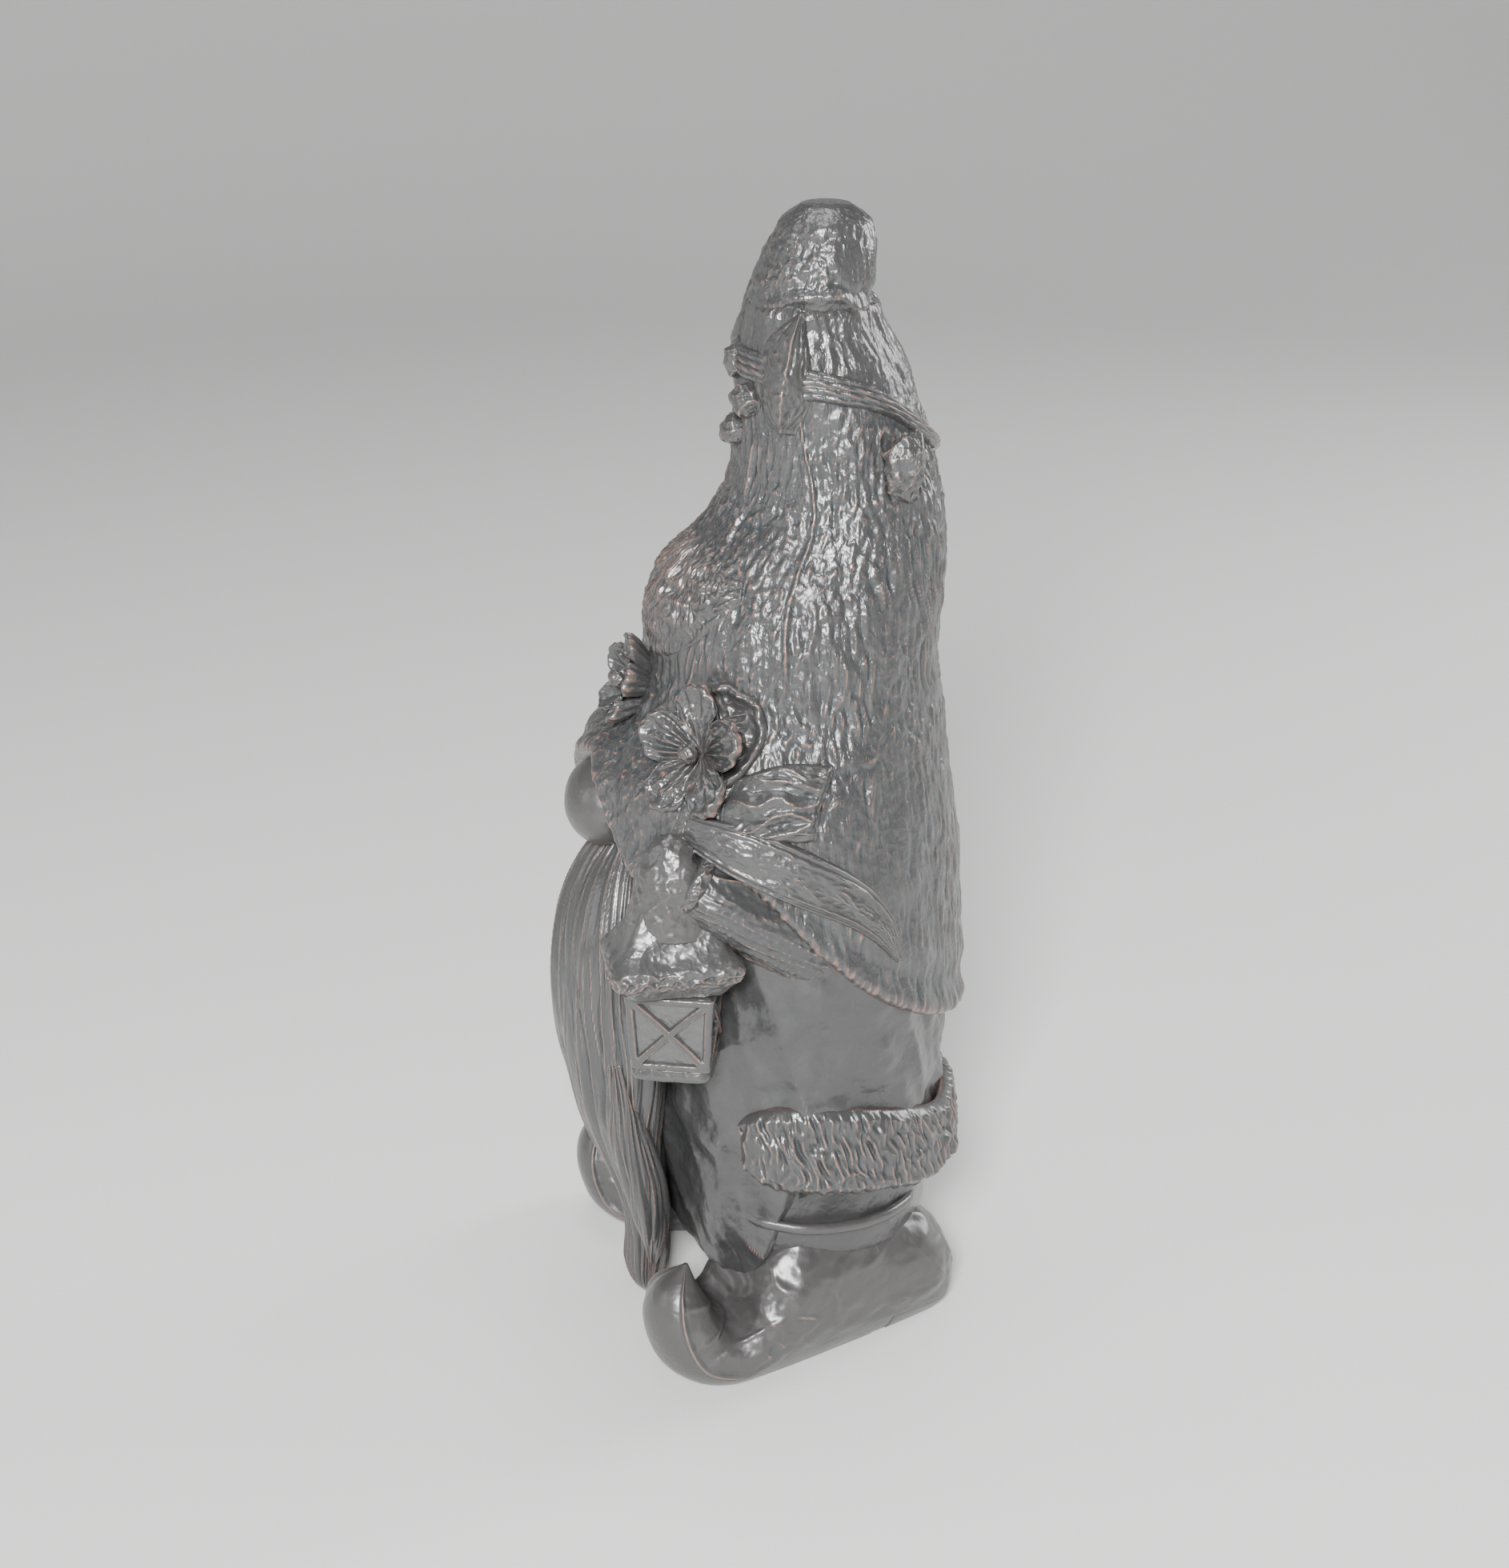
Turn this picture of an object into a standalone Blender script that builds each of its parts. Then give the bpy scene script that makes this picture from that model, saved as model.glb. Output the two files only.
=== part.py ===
"""Garden gnome with a lantern: hollow hat and coat castings with the applied castings bonded on them.

The gnome faces -Y with its left hand towards +X, and stands on z = 0. Tables and lengths are in millimetres,
and each mesh is scaled to metres when it is made. Turned pieces use an angle in degrees that is 0 at the
front and grows towards the gnome's left.
"""

from functools import partial

import bpy
import numpy as np

MM = 0.001

# Driving dimensions
ORIGIN = (0.445, 0.825, 0.0)  # middle of the footprint, seen from above
WALL = 4.5  # wall of the hollow castings
BOND = 0.4  # bond line left between two castings
LIFT = 0.6  # bond line under a piece that lies along the hat
VENT_HOLE = 9.0  # radius of the moulding hole under the trousers

# Hat: height, centre, half depth and half width
HAT_Z = [88, 110, 140, 166, 174, 183, 198, 209, 220, 230, 240, 250, 262, 279, 290, 297]
HAT_CENTRE = [4, 4, 3.6, 2, 2.5, 6.5, 9.9, 11, 13.3, 16.8, 21, 21.9, 20.5, 18, 15.7, 15.2]
HAT_DEPTH = [55.6, 54.8, 52.2, 50.5, 49, 44.4, 39.2, 38.6, 37.2, 34.1, 29.7, 26.7, 24.6, 21.3, 17.6, 16.2]
HAT_WIDTH = [60, 59.8, 58, 55, 53, 49, 43.5, 41.5, 38.5, 35, 31, 27.5, 25, 21.3, 17.6, 16.2]
HAT_TOP = 292.0
RIM_AT_AXIS = 138.9  # height of the tilted rim plane over y = 0
RIM_FALL = 0.745  # how far the rim drops for each millimetre towards the back
RIM_CURTAIN = ([0, 12, 22, 33, 44, 60], [1.5, -2, -8, -14, 3, 0])  # the parting over the nose
RIM_ROUND = 5.0

# Folded hat tip: height, centre and radius
TIP_Z = [292.8, 297, 304, 312, 317, 319.2]
TIP_CENTRE = [15.4, 15.4, 16.6, 18.8, 19.8, 20.4]
TIP_RADIUS = [16.4, 15.8, 14.9, 12.2, 9.4, 6]

# Coat: height, centre, front depth, back depth and half width
COAT_Z = [34, 50, 62, 76, 92, 110, 130, 148, 160, 168]
COAT_CENTRE = [7, 7, 7.3, 7.5, 7, 6, 5, 4, 3, 3]
COAT_FRONT = [34, 36, 37, 38, 38, 38, 37, 35, 29, 17]
COAT_BACK = [47, 48, 47.5, 46.5, 45.9, 45, 42, 36, 28, 16]
COAT_WIDTH = [50, 53, 53, 52, 51.5, 51, 49, 43, 34, 20]
HEM_AT_AXIS, HEM_FALL = 61.0, 0.17
FUR_TOP_AT_AXIS, FUR_TOP_FALL = 82.0, 0.22
FUR_FROM = 50.0  # angle where the fur trim starts on each side
FUR_PROUD = 5.2

# Boots: along the sole, height, tilt in degrees, half height and half width
BOOT_ALONG = [1, 6, 17, 33, 48, 59, 68.5, 76, 83.5, 87.5, 85, 81]
BOOT_RISE = [11, 14, 18, 20.5, 22.5, 21, 16, 12.6, 14.5, 22.5, 29.5, 33]
BOOT_TILT = [0, 0, 0, 0, 0, 0, 4, 22, 58, 100, 142, 158]
BOOT_HALF_HEIGHT = [8, 14, 18, 20.5, 22.5, 21, 16, 12.6, 10, 7.5, 4.2, 1]
BOOT_HALF_WIDTH = [9, 14, 17, 18.5, 19.5, 20, 19.8, 18.5, 15.5, 11, 6, 1.2]
BOOT_HEEL = (21.0, 51.0)
BOOT_TOE_OUT = 15.0
SOLE_ANGLE = 60.0  # the sole reaches this far up each side of a section
SOLE_THICK = 4.0
HEEL_END = 0.24  # the heel covers this share of the boot's length
HEEL_THICK = 10.0

# Beard: height, front, half width and back
BEARD_Z = [0, 3, 10, 21, 38, 52, 70, 86, 99, 114, 128, 143, 152]
BEARD_FRONT = [-36.5, -38.5, -39.6, -39.4, -42.4, -47.6, -54, -57.6, -58.8, -58.3, -55.6, -48.5, -41.5]
BEARD_HALF = [4, 7, 9, 10.5, 13, 17, 23, 26.5, 27.5, 27, 25, 19, 12]
BEARD_BACK = [-31, -29, -27, -26, -26, -27, -27, -26, -25, -25, -25, -25, -28]
LOCK = [(24, -47, 92), (22, -44, 72), (17.5, -38, 50), (13, -34, 30), (9.5, -33, 16)]

# Forearms, from the elbow to the wrist
LEFT_ARM = [(36, 18, 108), (44, 2, 124), (46, -13, 140), (45.5, -25.5, 150), (45, -31, 154)]
RIGHT_ARM = [(-38, 18, 112), (-46, 2, 120), (-46, -14, 121), (-41, -26, 116), (-37, -31, 113)]

# Lantern
LANTERN_AT = (39.5, -33.0)
LANTERN_YAW = 24.0
LANTERN_FLOOR = 98.5
LANTERN_BOX = (102.0, 125.0)
LANTERN_HALF = (10.8, 12.2)
LANTERN_WALL = 2.0
ROOF_AT = (40.0, -34.5)
ROOF_YAW = 6.0
LANTERN_ROOF = [(125.5, 13), (130, 17.2), (134.2, 17.4), (137, 13.8), (141, 10.4), (146, 7.4), (151, 5.4)]

SIDES = 36

COLOURS = {
    "hat": (0.36, 0.35, 0.35),
    "coat": (0.34, 0.335, 0.33),
    "beard": (0.38, 0.37, 0.365),
    "skin": (0.40, 0.375, 0.365),
    "boot": (0.37, 0.355, 0.35),
    "flower": (0.37, 0.36, 0.355),
    "lantern": (0.39, 0.38, 0.375),
    "pane": (0.42, 0.415, 0.41),
}


def clear_scene():
    for obj in list(bpy.data.objects):
        bpy.data.objects.remove(obj)


def material(name):
    made = bpy.data.materials.get(name)
    if made is None:
        made = bpy.data.materials.new(name)
        made.use_nodes = True
        shader = made.node_tree.nodes["Principled BSDF"]
        shader.inputs["Base Color"].default_value = (*COLOURS[name], 1)
        shader.inputs["Roughness"].default_value = 0.45
        shader.inputs["Metallic"].default_value = 0.0
    return made


def smooth(knots, values, at):
    """A curve through the values, with each knot's slope taken across its two neighbours."""
    knots, values, at = (np.asarray(a, float) for a in (knots, values, at))
    slopes = np.gradient(values, knots)
    i = np.clip(np.searchsorted(knots, at) - 1, 0, len(knots) - 2)
    span = knots[i + 1] - knots[i]
    t = np.clip((at - knots[i]) / span, 0, 1)
    start = (1 + 2 * t) * (1 - t) ** 2 * values[i] + t * (1 - t) ** 2 * span * slopes[i]
    end = t * t * (3 - 2 * t) * values[i + 1] + t * t * (t - 1) * span * slopes[i + 1]
    return start + end


# ---------------------------------------------------------------- meshes


def mesh_data(rings, looped=False):
    """Points and triangles of rings joined one to the next, with a fan at each end or the last ring joined to
    the first. Faces are turned outwards by the sign of the enclosed volume."""
    rings = np.asarray(rings, float)
    count, sides = rings.shape[:2]
    points = rings.reshape(-1, 3)
    i, j = np.meshgrid(np.arange(count if looped else count - 1), np.arange(sides), indexing="ij")
    a = i * sides + j
    b = i * sides + (j + 1) % sides
    c = (i + 1) % count * sides + (j + 1) % sides
    d = (i + 1) % count * sides + j
    faces = [np.stack([a, b, c], -1).reshape(-1, 3), np.stack([a, c, d], -1).reshape(-1, 3)]
    if not looped:
        j = np.arange(sides)
        last = (count - 1) * sides
        first_pole, last_pole = len(points), len(points) + 1
        points = np.vstack([points, rings[0].mean(0), rings[-1].mean(0)])
        faces.append(np.stack([np.full(sides, first_pole), (j + 1) % sides, j], -1))
        faces.append(np.stack([np.full(sides, last_pole), last + j, last + (j + 1) % sides], -1))
    faces = np.vstack(faces)
    if np.linalg.det(points[faces] - points.mean(0)).sum() < 0:
        faces = faces[:, ::-1]
    return points, faces


def swollen(points, faces, by):
    """The same closed mesh with every point moved out along its normal."""
    corners = points[faces]
    across = np.cross(corners[:, 1] - corners[:, 0], corners[:, 2] - corners[:, 0])
    normals = np.zeros_like(points)
    for k in range(3):
        np.add.at(normals, faces[:, k], across)
    normals /= np.maximum(np.linalg.norm(normals, axis=1, keepdims=True), 1e-9)
    return points + normals * by


def make_object(name, points, faces, colour=None):
    mesh = bpy.data.meshes.new(name)
    mesh.from_pydata(((points - ORIGIN) * MM).tolist(), [], faces.tolist())
    mesh.update()
    obj = bpy.data.objects.new(name, mesh)
    bpy.context.scene.collection.objects.link(obj)
    if colour:
        mesh.materials.append(material(colour))
        mesh.shade_smooth()
        mesh.set_sharp_from_angle(angle=np.radians(40))
    else:
        obj.hide_render = True
        obj.display_type = "WIRE"
    return obj


def solid(name, rings, colour, looped=False):
    """A casting made from rings, and the swollen cutter that leaves its bond line in its neighbours."""
    points, faces = mesh_data(rings, looped)
    obj = make_object(name, points, faces, colour)
    make_object(name + "_cutter", swollen(points, faces, 1.4 * BOND), faces)
    return obj


def take_away(obj, tool, solver="EXACT"):
    modifier = obj.modifiers.new(tool.name, "BOOLEAN")
    modifier.object = tool
    modifier.operation = "DIFFERENCE"
    modifier.solver = solver


def cut(obj, *names, solver="EXACT"):
    """Leaves room in obj for each named casting, with the bond line between them."""
    for name in names:
        take_away(obj, bpy.data.objects[name + "_cutter"], solver)


def swept(path, radii, sides=20, squash=1.0, up=(0, 0, 1)):
    """Round sections carried along a path, each square to the path. squash flattens them along the up side."""
    path = np.asarray(path, float)
    along = np.gradient(path, axis=0)
    along /= np.linalg.norm(along, axis=1, keepdims=True)
    side = np.cross(along, np.asarray(up, float))
    side /= np.linalg.norm(side, axis=1, keepdims=True)
    over = np.cross(side, along)
    turn = np.linspace(0, 2 * np.pi, sides, endpoint=False)
    radii = np.asarray(radii, float)[:, None, None]
    round_part = side[:, None] * np.cos(turn)[:, None] + squash * over[:, None] * np.sin(turn)[:, None]
    return path[:, None] + radii * round_part


def through(points, steps):
    """steps points along a smooth curve through the given ones."""
    points = np.asarray(points, float)
    at = np.linspace(0, len(points) - 1, steps)
    return np.stack([smooth(range(len(points)), points[:, k], at) for k in range(3)], -1)


def ellipsoid(centre, radii, rings=11, sides=20):
    """Rings of an ellipsoid from its lowest to its highest point."""
    rise = np.linspace(-np.pi / 2, np.pi / 2, rings + 2)[1:-1, None]
    turn = np.linspace(0, 2 * np.pi, sides, endpoint=False)
    parts = [np.cos(rise) * np.sin(turn), -np.cos(rise) * np.cos(turn), np.sin(rise) + 0 * turn]
    return np.stack(parts, -1) * radii + centre


# ---------------------------------------------------------------- hat


def hat_point(angle, z, out=0.0):
    """A point of the hat's outside, moved out along the surface normal. Angle in degrees."""

    def place(a, h):
        centre, depth, width = (smooth(HAT_Z, k, h) for k in (HAT_CENTRE, HAT_DEPTH, HAT_WIDTH))
        a = np.radians(a)
        return np.stack(np.broadcast_arrays(width * np.sin(a), centre - depth * np.cos(a), h), -1)

    angle, z = np.broadcast_arrays(np.asarray(angle, float), np.asarray(z, float))
    here = place(angle, z)
    around = place(angle + 0.5, z) - place(angle - 0.5, z)
    upward = place(angle, z + 0.5) - place(angle, z - 0.5)
    normal = np.cross(around, upward)
    normal /= np.linalg.norm(normal, axis=-1, keepdims=True)
    return here + normal * np.asarray(out, float)[..., None]


def rim_height(angle):
    """The rim lies in a plane that falls to the back, parted like a curtain over the nose."""
    angle = np.asarray(angle, float)
    aside = np.abs((angle + 180) % 360 - 180)
    y = 3.5 - 52.5 * np.cos(np.radians(angle))
    return RIM_AT_AXIS - 2.6 - RIM_FALL * y + np.interp(aside, *RIM_CURTAIN)


def around():
    return np.linspace(0, 360, SIDES, endpoint=False)


def hat_rings(inside):
    """Rings from the rounded rim up to the top, or with inside the same set in by the wall."""
    angle = around()
    rim = rim_height(angle)
    share = np.linspace(0, 1, 7 if inside else 17) ** 1.15
    top = HAT_TOP - (WALL if inside else 0)
    low = rim + (1.2 if inside else 0)
    z = low + (top - low) * share[:, None]
    short_of = np.clip(RIM_ROUND - (z - rim), 0, RIM_ROUND)
    set_in = RIM_ROUND - np.sqrt(RIM_ROUND**2 - short_of**2)
    return hat_point(angle, z, -WALL if inside else -0.55 * set_in)


def make_hat():
    outside, inside = hat_rings(False), hat_rings(True)
    solid("hat_shell", np.concatenate([inside[::-1], outside]), "hat")
    points, faces = mesh_data(outside)
    make_object("hat_solid_cutter", swollen(points, faces, 1.4 * BOND), faces)
    centre = np.stack([0 * np.array(TIP_Z), TIP_CENTRE, TIP_Z], -1)
    turn = np.radians(np.linspace(0, 360, 24, endpoint=False))
    circle = np.stack([np.sin(turn), -np.cos(turn), 0 * turn], -1)
    solid("hat_tip", centre[:, None] + np.array(TIP_RADIUS)[:, None, None] * circle, "hat")


# ---------------------------------------------------------------- pieces that lie along the hat


def slanted(angle, at_axis, fall):
    """Height on the hat where a tilted plane crosses it at each angle."""
    z = np.full(np.shape(angle), float(at_axis))
    for _ in range(12):
        z = at_axis - fall * hat_point(angle, z)[..., 1]
    return z


def on_hat(name, angles, heights, widths, thickness, colour="flower", steps=11, sides=7):
    """A leaf-like solid along the hat: a centre line given as angles and heights, half widths along it, and a
    thickness that fades to the edges. Its underside follows the hat."""
    t = np.linspace(0, 1, steps)
    knots = np.linspace(0, 1, len(angles))
    angle, z, half = smooth(knots, angles, t), smooth(knots, heights, t), smooth(knots, widths, t)
    line = hat_point(angle, z)
    along = np.gradient(line, axis=0)
    per_degree = np.linalg.norm(hat_point(angle + 1, z) - line, axis=-1)
    run = np.stack([np.gradient(angle) * per_degree, np.gradient(z)], -1)
    run /= np.linalg.norm(run, axis=-1, keepdims=True)
    across = np.concatenate([np.linspace(-1, 1, sides), np.linspace(1, -1, sides)[1:-1]])
    top = np.concatenate([np.ones(sides), np.zeros(sides - 2)])
    fade = np.sqrt(np.maximum(1 - across**2, 0))
    lens = np.sqrt(np.maximum(np.sin(np.pi * np.clip(t, 0.04, 0.96)), 0))
    out = LIFT + 0.25 + thickness * lens[:, None] * fade * top
    a = angle[:, None] + run[:, 1:] * across * half[:, None] / per_degree[:, None]
    h = z[:, None] - run[:, :1] * across * half[:, None]
    assert along.shape == line.shape
    return solid(name, hat_point(a, h, out), colour)


def disc_on_hat(name, angle, z, radius, thickness):
    """A round leaf lying on the hat."""
    turn = np.radians(np.linspace(0, 360, 28, endpoint=False))
    share = np.array([0.35, 0.7, 1, 1, 0.7, 0.35])[:, None]
    out = LIFT + np.array([0, 0, 0.3, thickness * 0.6, thickness, thickness])[:, None] + 0 * turn
    per_degree = np.linalg.norm(hat_point(angle + 1, z) - hat_point(angle, z))
    a = angle + share * radius * np.cos(turn) / per_degree
    h = z + share * radius * np.sin(turn)
    return solid(name, hat_point(a, h, out), "flower")


def facing(angle, tilt):
    """Side, up and outward directions of something that faces an angle and leans back by tilt degrees."""
    a, t = np.radians(angle), np.radians(tilt)
    flat = np.array([np.sin(a), -np.cos(a), 0])
    out = flat * np.cos(t) + np.array([0, 0, np.sin(t)])
    side = np.array([np.cos(a), np.sin(a), 0])
    return side, np.cross(out, side), out


def make_flower(name, centre, angle, tilt, radius, depth):
    """Five petals in one cupped casting, and a separate centre button."""
    side, up, out = facing(angle, tilt)
    turn = np.radians(np.linspace(0, 360, 30, endpoint=False))
    petal = 0.74 + 0.26 * np.abs(np.cos(2.5 * turn)) ** 0.7
    share = np.array([0.3, 0.62, 0.92, 1.0, 0.9, 0.6, 0.32])[:, None]
    lift = np.array([-depth, -depth * 0.8, 0.6, 2.2, 2.0, 0.4, -0.6])[:, None]
    flat = share * radius * petal
    rings = (
        np.asarray(centre, float)
        + (flat * np.cos(turn))[..., None] * side
        + (flat * np.sin(turn))[..., None] * up
        + (lift + 0 * turn)[..., None] * out
    )
    petals = solid(name + "_petals", rings, "flower")
    cut(petals, "hat_solid")
    button = ellipsoid(np.asarray(centre) + 1.5 * out, (3, 3, 3), 7, 12)
    solid(name + "_centre", button, "flower")
    cut(bpy.data.objects[name + "_centre"], name + "_petals")
    return petals


def make_decorations():
    angle = around()
    z = slanted(angle, 281.0, 0.5)
    section = np.radians(np.linspace(0, 360, 8, endpoint=False))
    out = LIFT + 1.9 + 1.7 * np.cos(section)
    rings = hat_point(angle[:, None], z[:, None] + 2.6 * np.sin(section), out)
    solid("hat_cord", rings, "hat", looped=True)

    knot = ellipsoid((0, 0, 0), (5.6, 6.4, 9.0), 9, 16) + np.array([25.0, 36.5, 255.5])
    cut(solid("hat_knot", knot, "hat"), "hat_solid", "hat_cord")

    for side, word in ((1, "left"), (-1, "right")):
        leaf = on_hat(f"holly_leaf_{word}", [side * 56, side * 50, side * 40], [282.5, 286, 291.2], [4, 5.5, 0.6], 4.0)
        cut(leaf, "hat_cord", "hat_tip")
    for word, turn, height, size in (("upper", -4, 279, 4.3), ("middle", 14, 270.5, 4.6), ("lower", -2, 261, 4.4)):
        berry = ellipsoid(hat_point(turn, height, size * 0.35), (size, size, size), 8, 14)
        cut(solid(f"berry_{word}", berry, "flower"), "hat_solid", "hat_cord")
    cut(bpy.data.objects["berry_middle"], "berry_upper", "berry_lower")

    on_hat("hat_front_leaf", [-49, -20, 0, 20, 49], [225, 218, 215, 218, 225], [0.8, 10, 14, 10, 0.8], 3.6, steps=15)
    disc_on_hat("leaf_round", 47, 187, 17, 2.6)
    leaf = on_hat("leaf_long", [56, 74, 95, 113], [168, 162, 149, 128.5], [4, 7.5, 7.5, 0.8], 3.4, steps=13)
    cut(leaf, "leaf_round")
    short = on_hat("leaf_short", [62, 76, 90], [174, 176, 177], [5, 8.5, 6], 4.0)
    cut(short, "leaf_long", "leaf_round", solver="MANIFOLD")
    make_flower("flower_left", (35.0, -26.5, 188.0), 41, 8, 18.5, 8)
    make_flower("flower_front", (-3.0, -36.0, 194.0), -4, 18, 13, 8)
    cut(bpy.data.objects["leaf_round"], "flower_left_petals", "flower_left_centre")


# ---------------------------------------------------------------- body


def coat_point(angle, z, out=0.0):
    """A point of the coat's outside, moved out level from the axis."""
    a = np.radians(angle)
    centre, front, back, width = (smooth(COAT_Z, k, z) for k in (COAT_CENTRE, COAT_FRONT, COAT_BACK, COAT_WIDTH))
    depth = np.where(np.cos(a) > 0, front, back)
    parts = ((width + out) * np.sin(a), centre - (depth + out) * np.cos(a), z + 0 * a)
    return np.stack(np.broadcast_arrays(*parts), -1)


def tilted_height(angle, at_axis, fall):
    """Height of a plane that falls to the back, on the coat."""
    y = 7 - np.where(np.cos(np.radians(angle)) > 0, 37, 48) * np.cos(np.radians(angle))
    return at_axis - fall * y


def make_coat():
    angle = around()
    low = tilted_height(angle, HEM_AT_AXIS, HEM_FALL)
    top = COAT_Z[-1]
    outside = [coat_point(angle, low + (top - low) * t) for t in np.linspace(0, 1, 9)]
    inside = [coat_point(angle, low + (top - WALL - low) * t, -WALL) for t in np.linspace(0, 1, 5)]
    solid("coat_body", inside[::-1] + outside, "coat")
    points, faces = mesh_data(outside)
    make_object("coat_solid_cutter", swollen(points, faces, 1.4 * BOND), faces)

    angle = np.linspace(FUR_FROM, 360 - FUR_FROM, 40)[:, None]
    low = tilted_height(angle, HEM_AT_AXIS - 3.5, HEM_FALL)
    high = tilted_height(angle, FUR_TOP_AT_AXIS, FUR_TOP_FALL)
    rise = np.array([0.16, 0.5, 1, 1, 0.75, 0.4, 0.12, 0, 0.02])
    out = np.array([0, 0, 0, 0.12, 0.45, 0.72, 1.0, 0.85, 0.3]) * FUR_PROUD + BOND
    solid("fur_hem", coat_point(angle, low + (high - low) * rise, out), "beard")


def make_trousers():
    """The block of both legs, from inside the hem down onto the boots, with the moulding hole below."""
    angle = around()
    top = tilted_height(angle, HEM_AT_AXIS - 0.9, HEM_FALL)
    low = 27.0
    rings = []
    for t in np.linspace(0, 1, 4):
        off_centre = np.degrees(np.arcsin(np.sin(np.radians(angle))))
        notch = 1 - 0.30 * (1 - t) * np.exp(-((off_centre / 16) ** 2))
        ring = coat_point(angle, np.full(SIDES, 50.0), -3.5 - 3.5 * (1 - t))
        ring[:, :2] = (ring[:, :2] - (0, 7)) * notch[:, None] + (0, 7)
        ring[:, 2] = low + (top - low) * t
        rings.append(ring)
    circle = np.stack([np.sin(np.radians(angle)), -np.cos(np.radians(angle)), 0 * angle], -1)
    bore = [ring * (0, 0, 1) + (0, 7, 0) + VENT_HOLE * circle for ring in rings]
    obj = solid("trousers", bore[::-1] + rings, "coat", looped=True)
    cut(obj, *(f"{side}_boot_{piece}" for side in ("left", "right") for piece in ("upper", "cuff")))


# ---------------------------------------------------------------- boots


def boot_frame(side):
    """Origin, forward and outward directions of a boot, on the ground."""
    turn = np.radians(BOOT_TOE_OUT)
    forward = np.array([side * np.sin(turn), -np.cos(turn), 0])
    outward = np.array([side * np.cos(turn), np.sin(turn), 0])
    return np.array([side * BOOT_HEEL[0], BOOT_HEEL[1], 0]), forward, outward


def boot_rings(side, share, angle, inset):
    """Sections of the boot at shares of its length. angle is 0 at the sole and runs round the section, and inset
    is how far each point is drawn in from the outside."""
    origin, forward, outward = boot_frame(side)
    knots = np.linspace(0, 1, len(BOOT_ALONG))
    along, rise, tilt, half_height, half_width = (
        smooth(knots, k, share)[:, None]
        for k in (BOOT_ALONG, BOOT_RISE, BOOT_TILT, BOOT_HALF_HEIGHT, BOOT_HALF_WIDTH)
    )
    a, lean = np.radians(angle), np.radians(tilt)
    scale = np.maximum(1 - inset / np.maximum(half_height, 1), 0.1)
    down = -np.cos(a) * half_height * scale * np.where(np.cos(a) > 0, 1.25, 1.0)
    aside = np.sin(a) * half_width * scale
    s = along - down * np.sin(lean)
    z = rise + down * np.cos(lean)
    z = np.maximum(z, np.where(np.cos(a) > 0, inset, -50))
    return origin + s[..., None] * forward + aside[..., None] * outward + z[..., None] * np.array([0, 0, 1])


def make_boot(side, word):
    """The sole and heel fill what is cut away under the upper, and share its stations, so they nest."""
    heel_part = np.linspace(0, HEEL_END, 6)
    share = np.concatenate([heel_part, np.linspace(HEEL_END + 0.012, 0.985, 14), [1]])
    half_turn = np.array([0, 20, 40, SOLE_ANGLE, SOLE_ANGLE + 3, 80, 105, 130, 155])
    loop = np.concatenate([half_turn, [180], 360 - half_turn[:0:-1]])
    in_sole = (np.minimum(loop, 360 - loop) <= SOLE_ANGLE).astype(float)
    deep = np.where(share <= HEEL_END, HEEL_THICK, SOLE_THICK)[:, None] + BOND
    deep[-1] = 0
    solid(f"{word}_boot_upper", boot_rings(side, share, loop, deep * in_sole), "boot")

    arc = np.array([-SOLE_ANGLE, -40, -20, 0, 20, 40, SOLE_ANGLE])
    strip = np.concatenate([arc, arc[::-1]])
    inner = np.concatenate([0 * arc, 0 * arc + 1])
    sole_share = np.concatenate([[share[6] + 0.006], share[7:-1]])
    solid(f"{word}_boot_sole", boot_rings(side, sole_share, strip, inner * (SOLE_THICK - 0.2)), "boot")
    heel_share = np.concatenate([heel_part[:-1], [HEEL_END - 0.006]])
    solid(f"{word}_boot_heel", boot_rings(side, heel_share, strip, inner * HEEL_THICK), "boot")

    origin, forward, outward = boot_frame(side)
    turn = np.radians(np.linspace(0, 360, 24, endpoint=False))[:, None]
    section = np.radians(np.linspace(0, 360, 8, endpoint=False))
    reach = 2.4 * np.cos(section)
    s, aside = 41 - (27 + reach) * np.cos(turn), (17.5 + reach) * np.sin(turn)
    z = 37.5 + 0.28 * (s - 41) + 3 * np.sin(section)
    rings = origin + s[..., None] * forward + aside[..., None] * outward + z[..., None] * np.array([0, 0, 1])
    cut(solid(f"{word}_boot_cuff", rings, "boot", looped=True), f"{word}_boot_upper")


# ---------------------------------------------------------------- arms and lantern


def make_arm(word, elbow_to_wrist):
    """Sleeve, cuff and mitten one after the other along the forearm."""
    path = through(elbow_to_wrist, 14)
    thickness = smooth([0, 0.5, 0.8, 1], [12, 13.4, 11.5, 8.8], np.linspace(0, 1, 14))
    sleeve = solid(f"{word}_sleeve", swept(path, thickness), "coat")
    tip = path[-1]
    along = (path[-1] - path[-2]) / np.linalg.norm(path[-1] - path[-2])
    cuff_line = tip + along * np.array([0.6, 1.6, 4.6, 5.6])[:, None]
    cuff = solid(f"{word}_cuff", swept(cuff_line, [9.6, 11, 11, 9.4]), "beard")
    hand_line = tip + along * np.array([6.3, 7.6, 10, 13, 16, 18.5, 20.2])[:, None] + np.array([0, 0, -1.0])
    mitten = solid(f"{word}_mitten", swept(hand_line, [7.0, 9.4, 10.4, 10.2, 8.8, 6.2, 2.6]), "skin")
    for piece in (sleeve, cuff, mitten):
        cut(piece, "hat_solid", "coat_solid")
    cut(cuff, f"{word}_sleeve")
    if word == "left":
        cut(sleeve, "leaf_long")
        cut(cuff, "leaf_long")
        cut(mitten, "leaf_round")
    cut(mitten, f"{word}_cuff")


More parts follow.
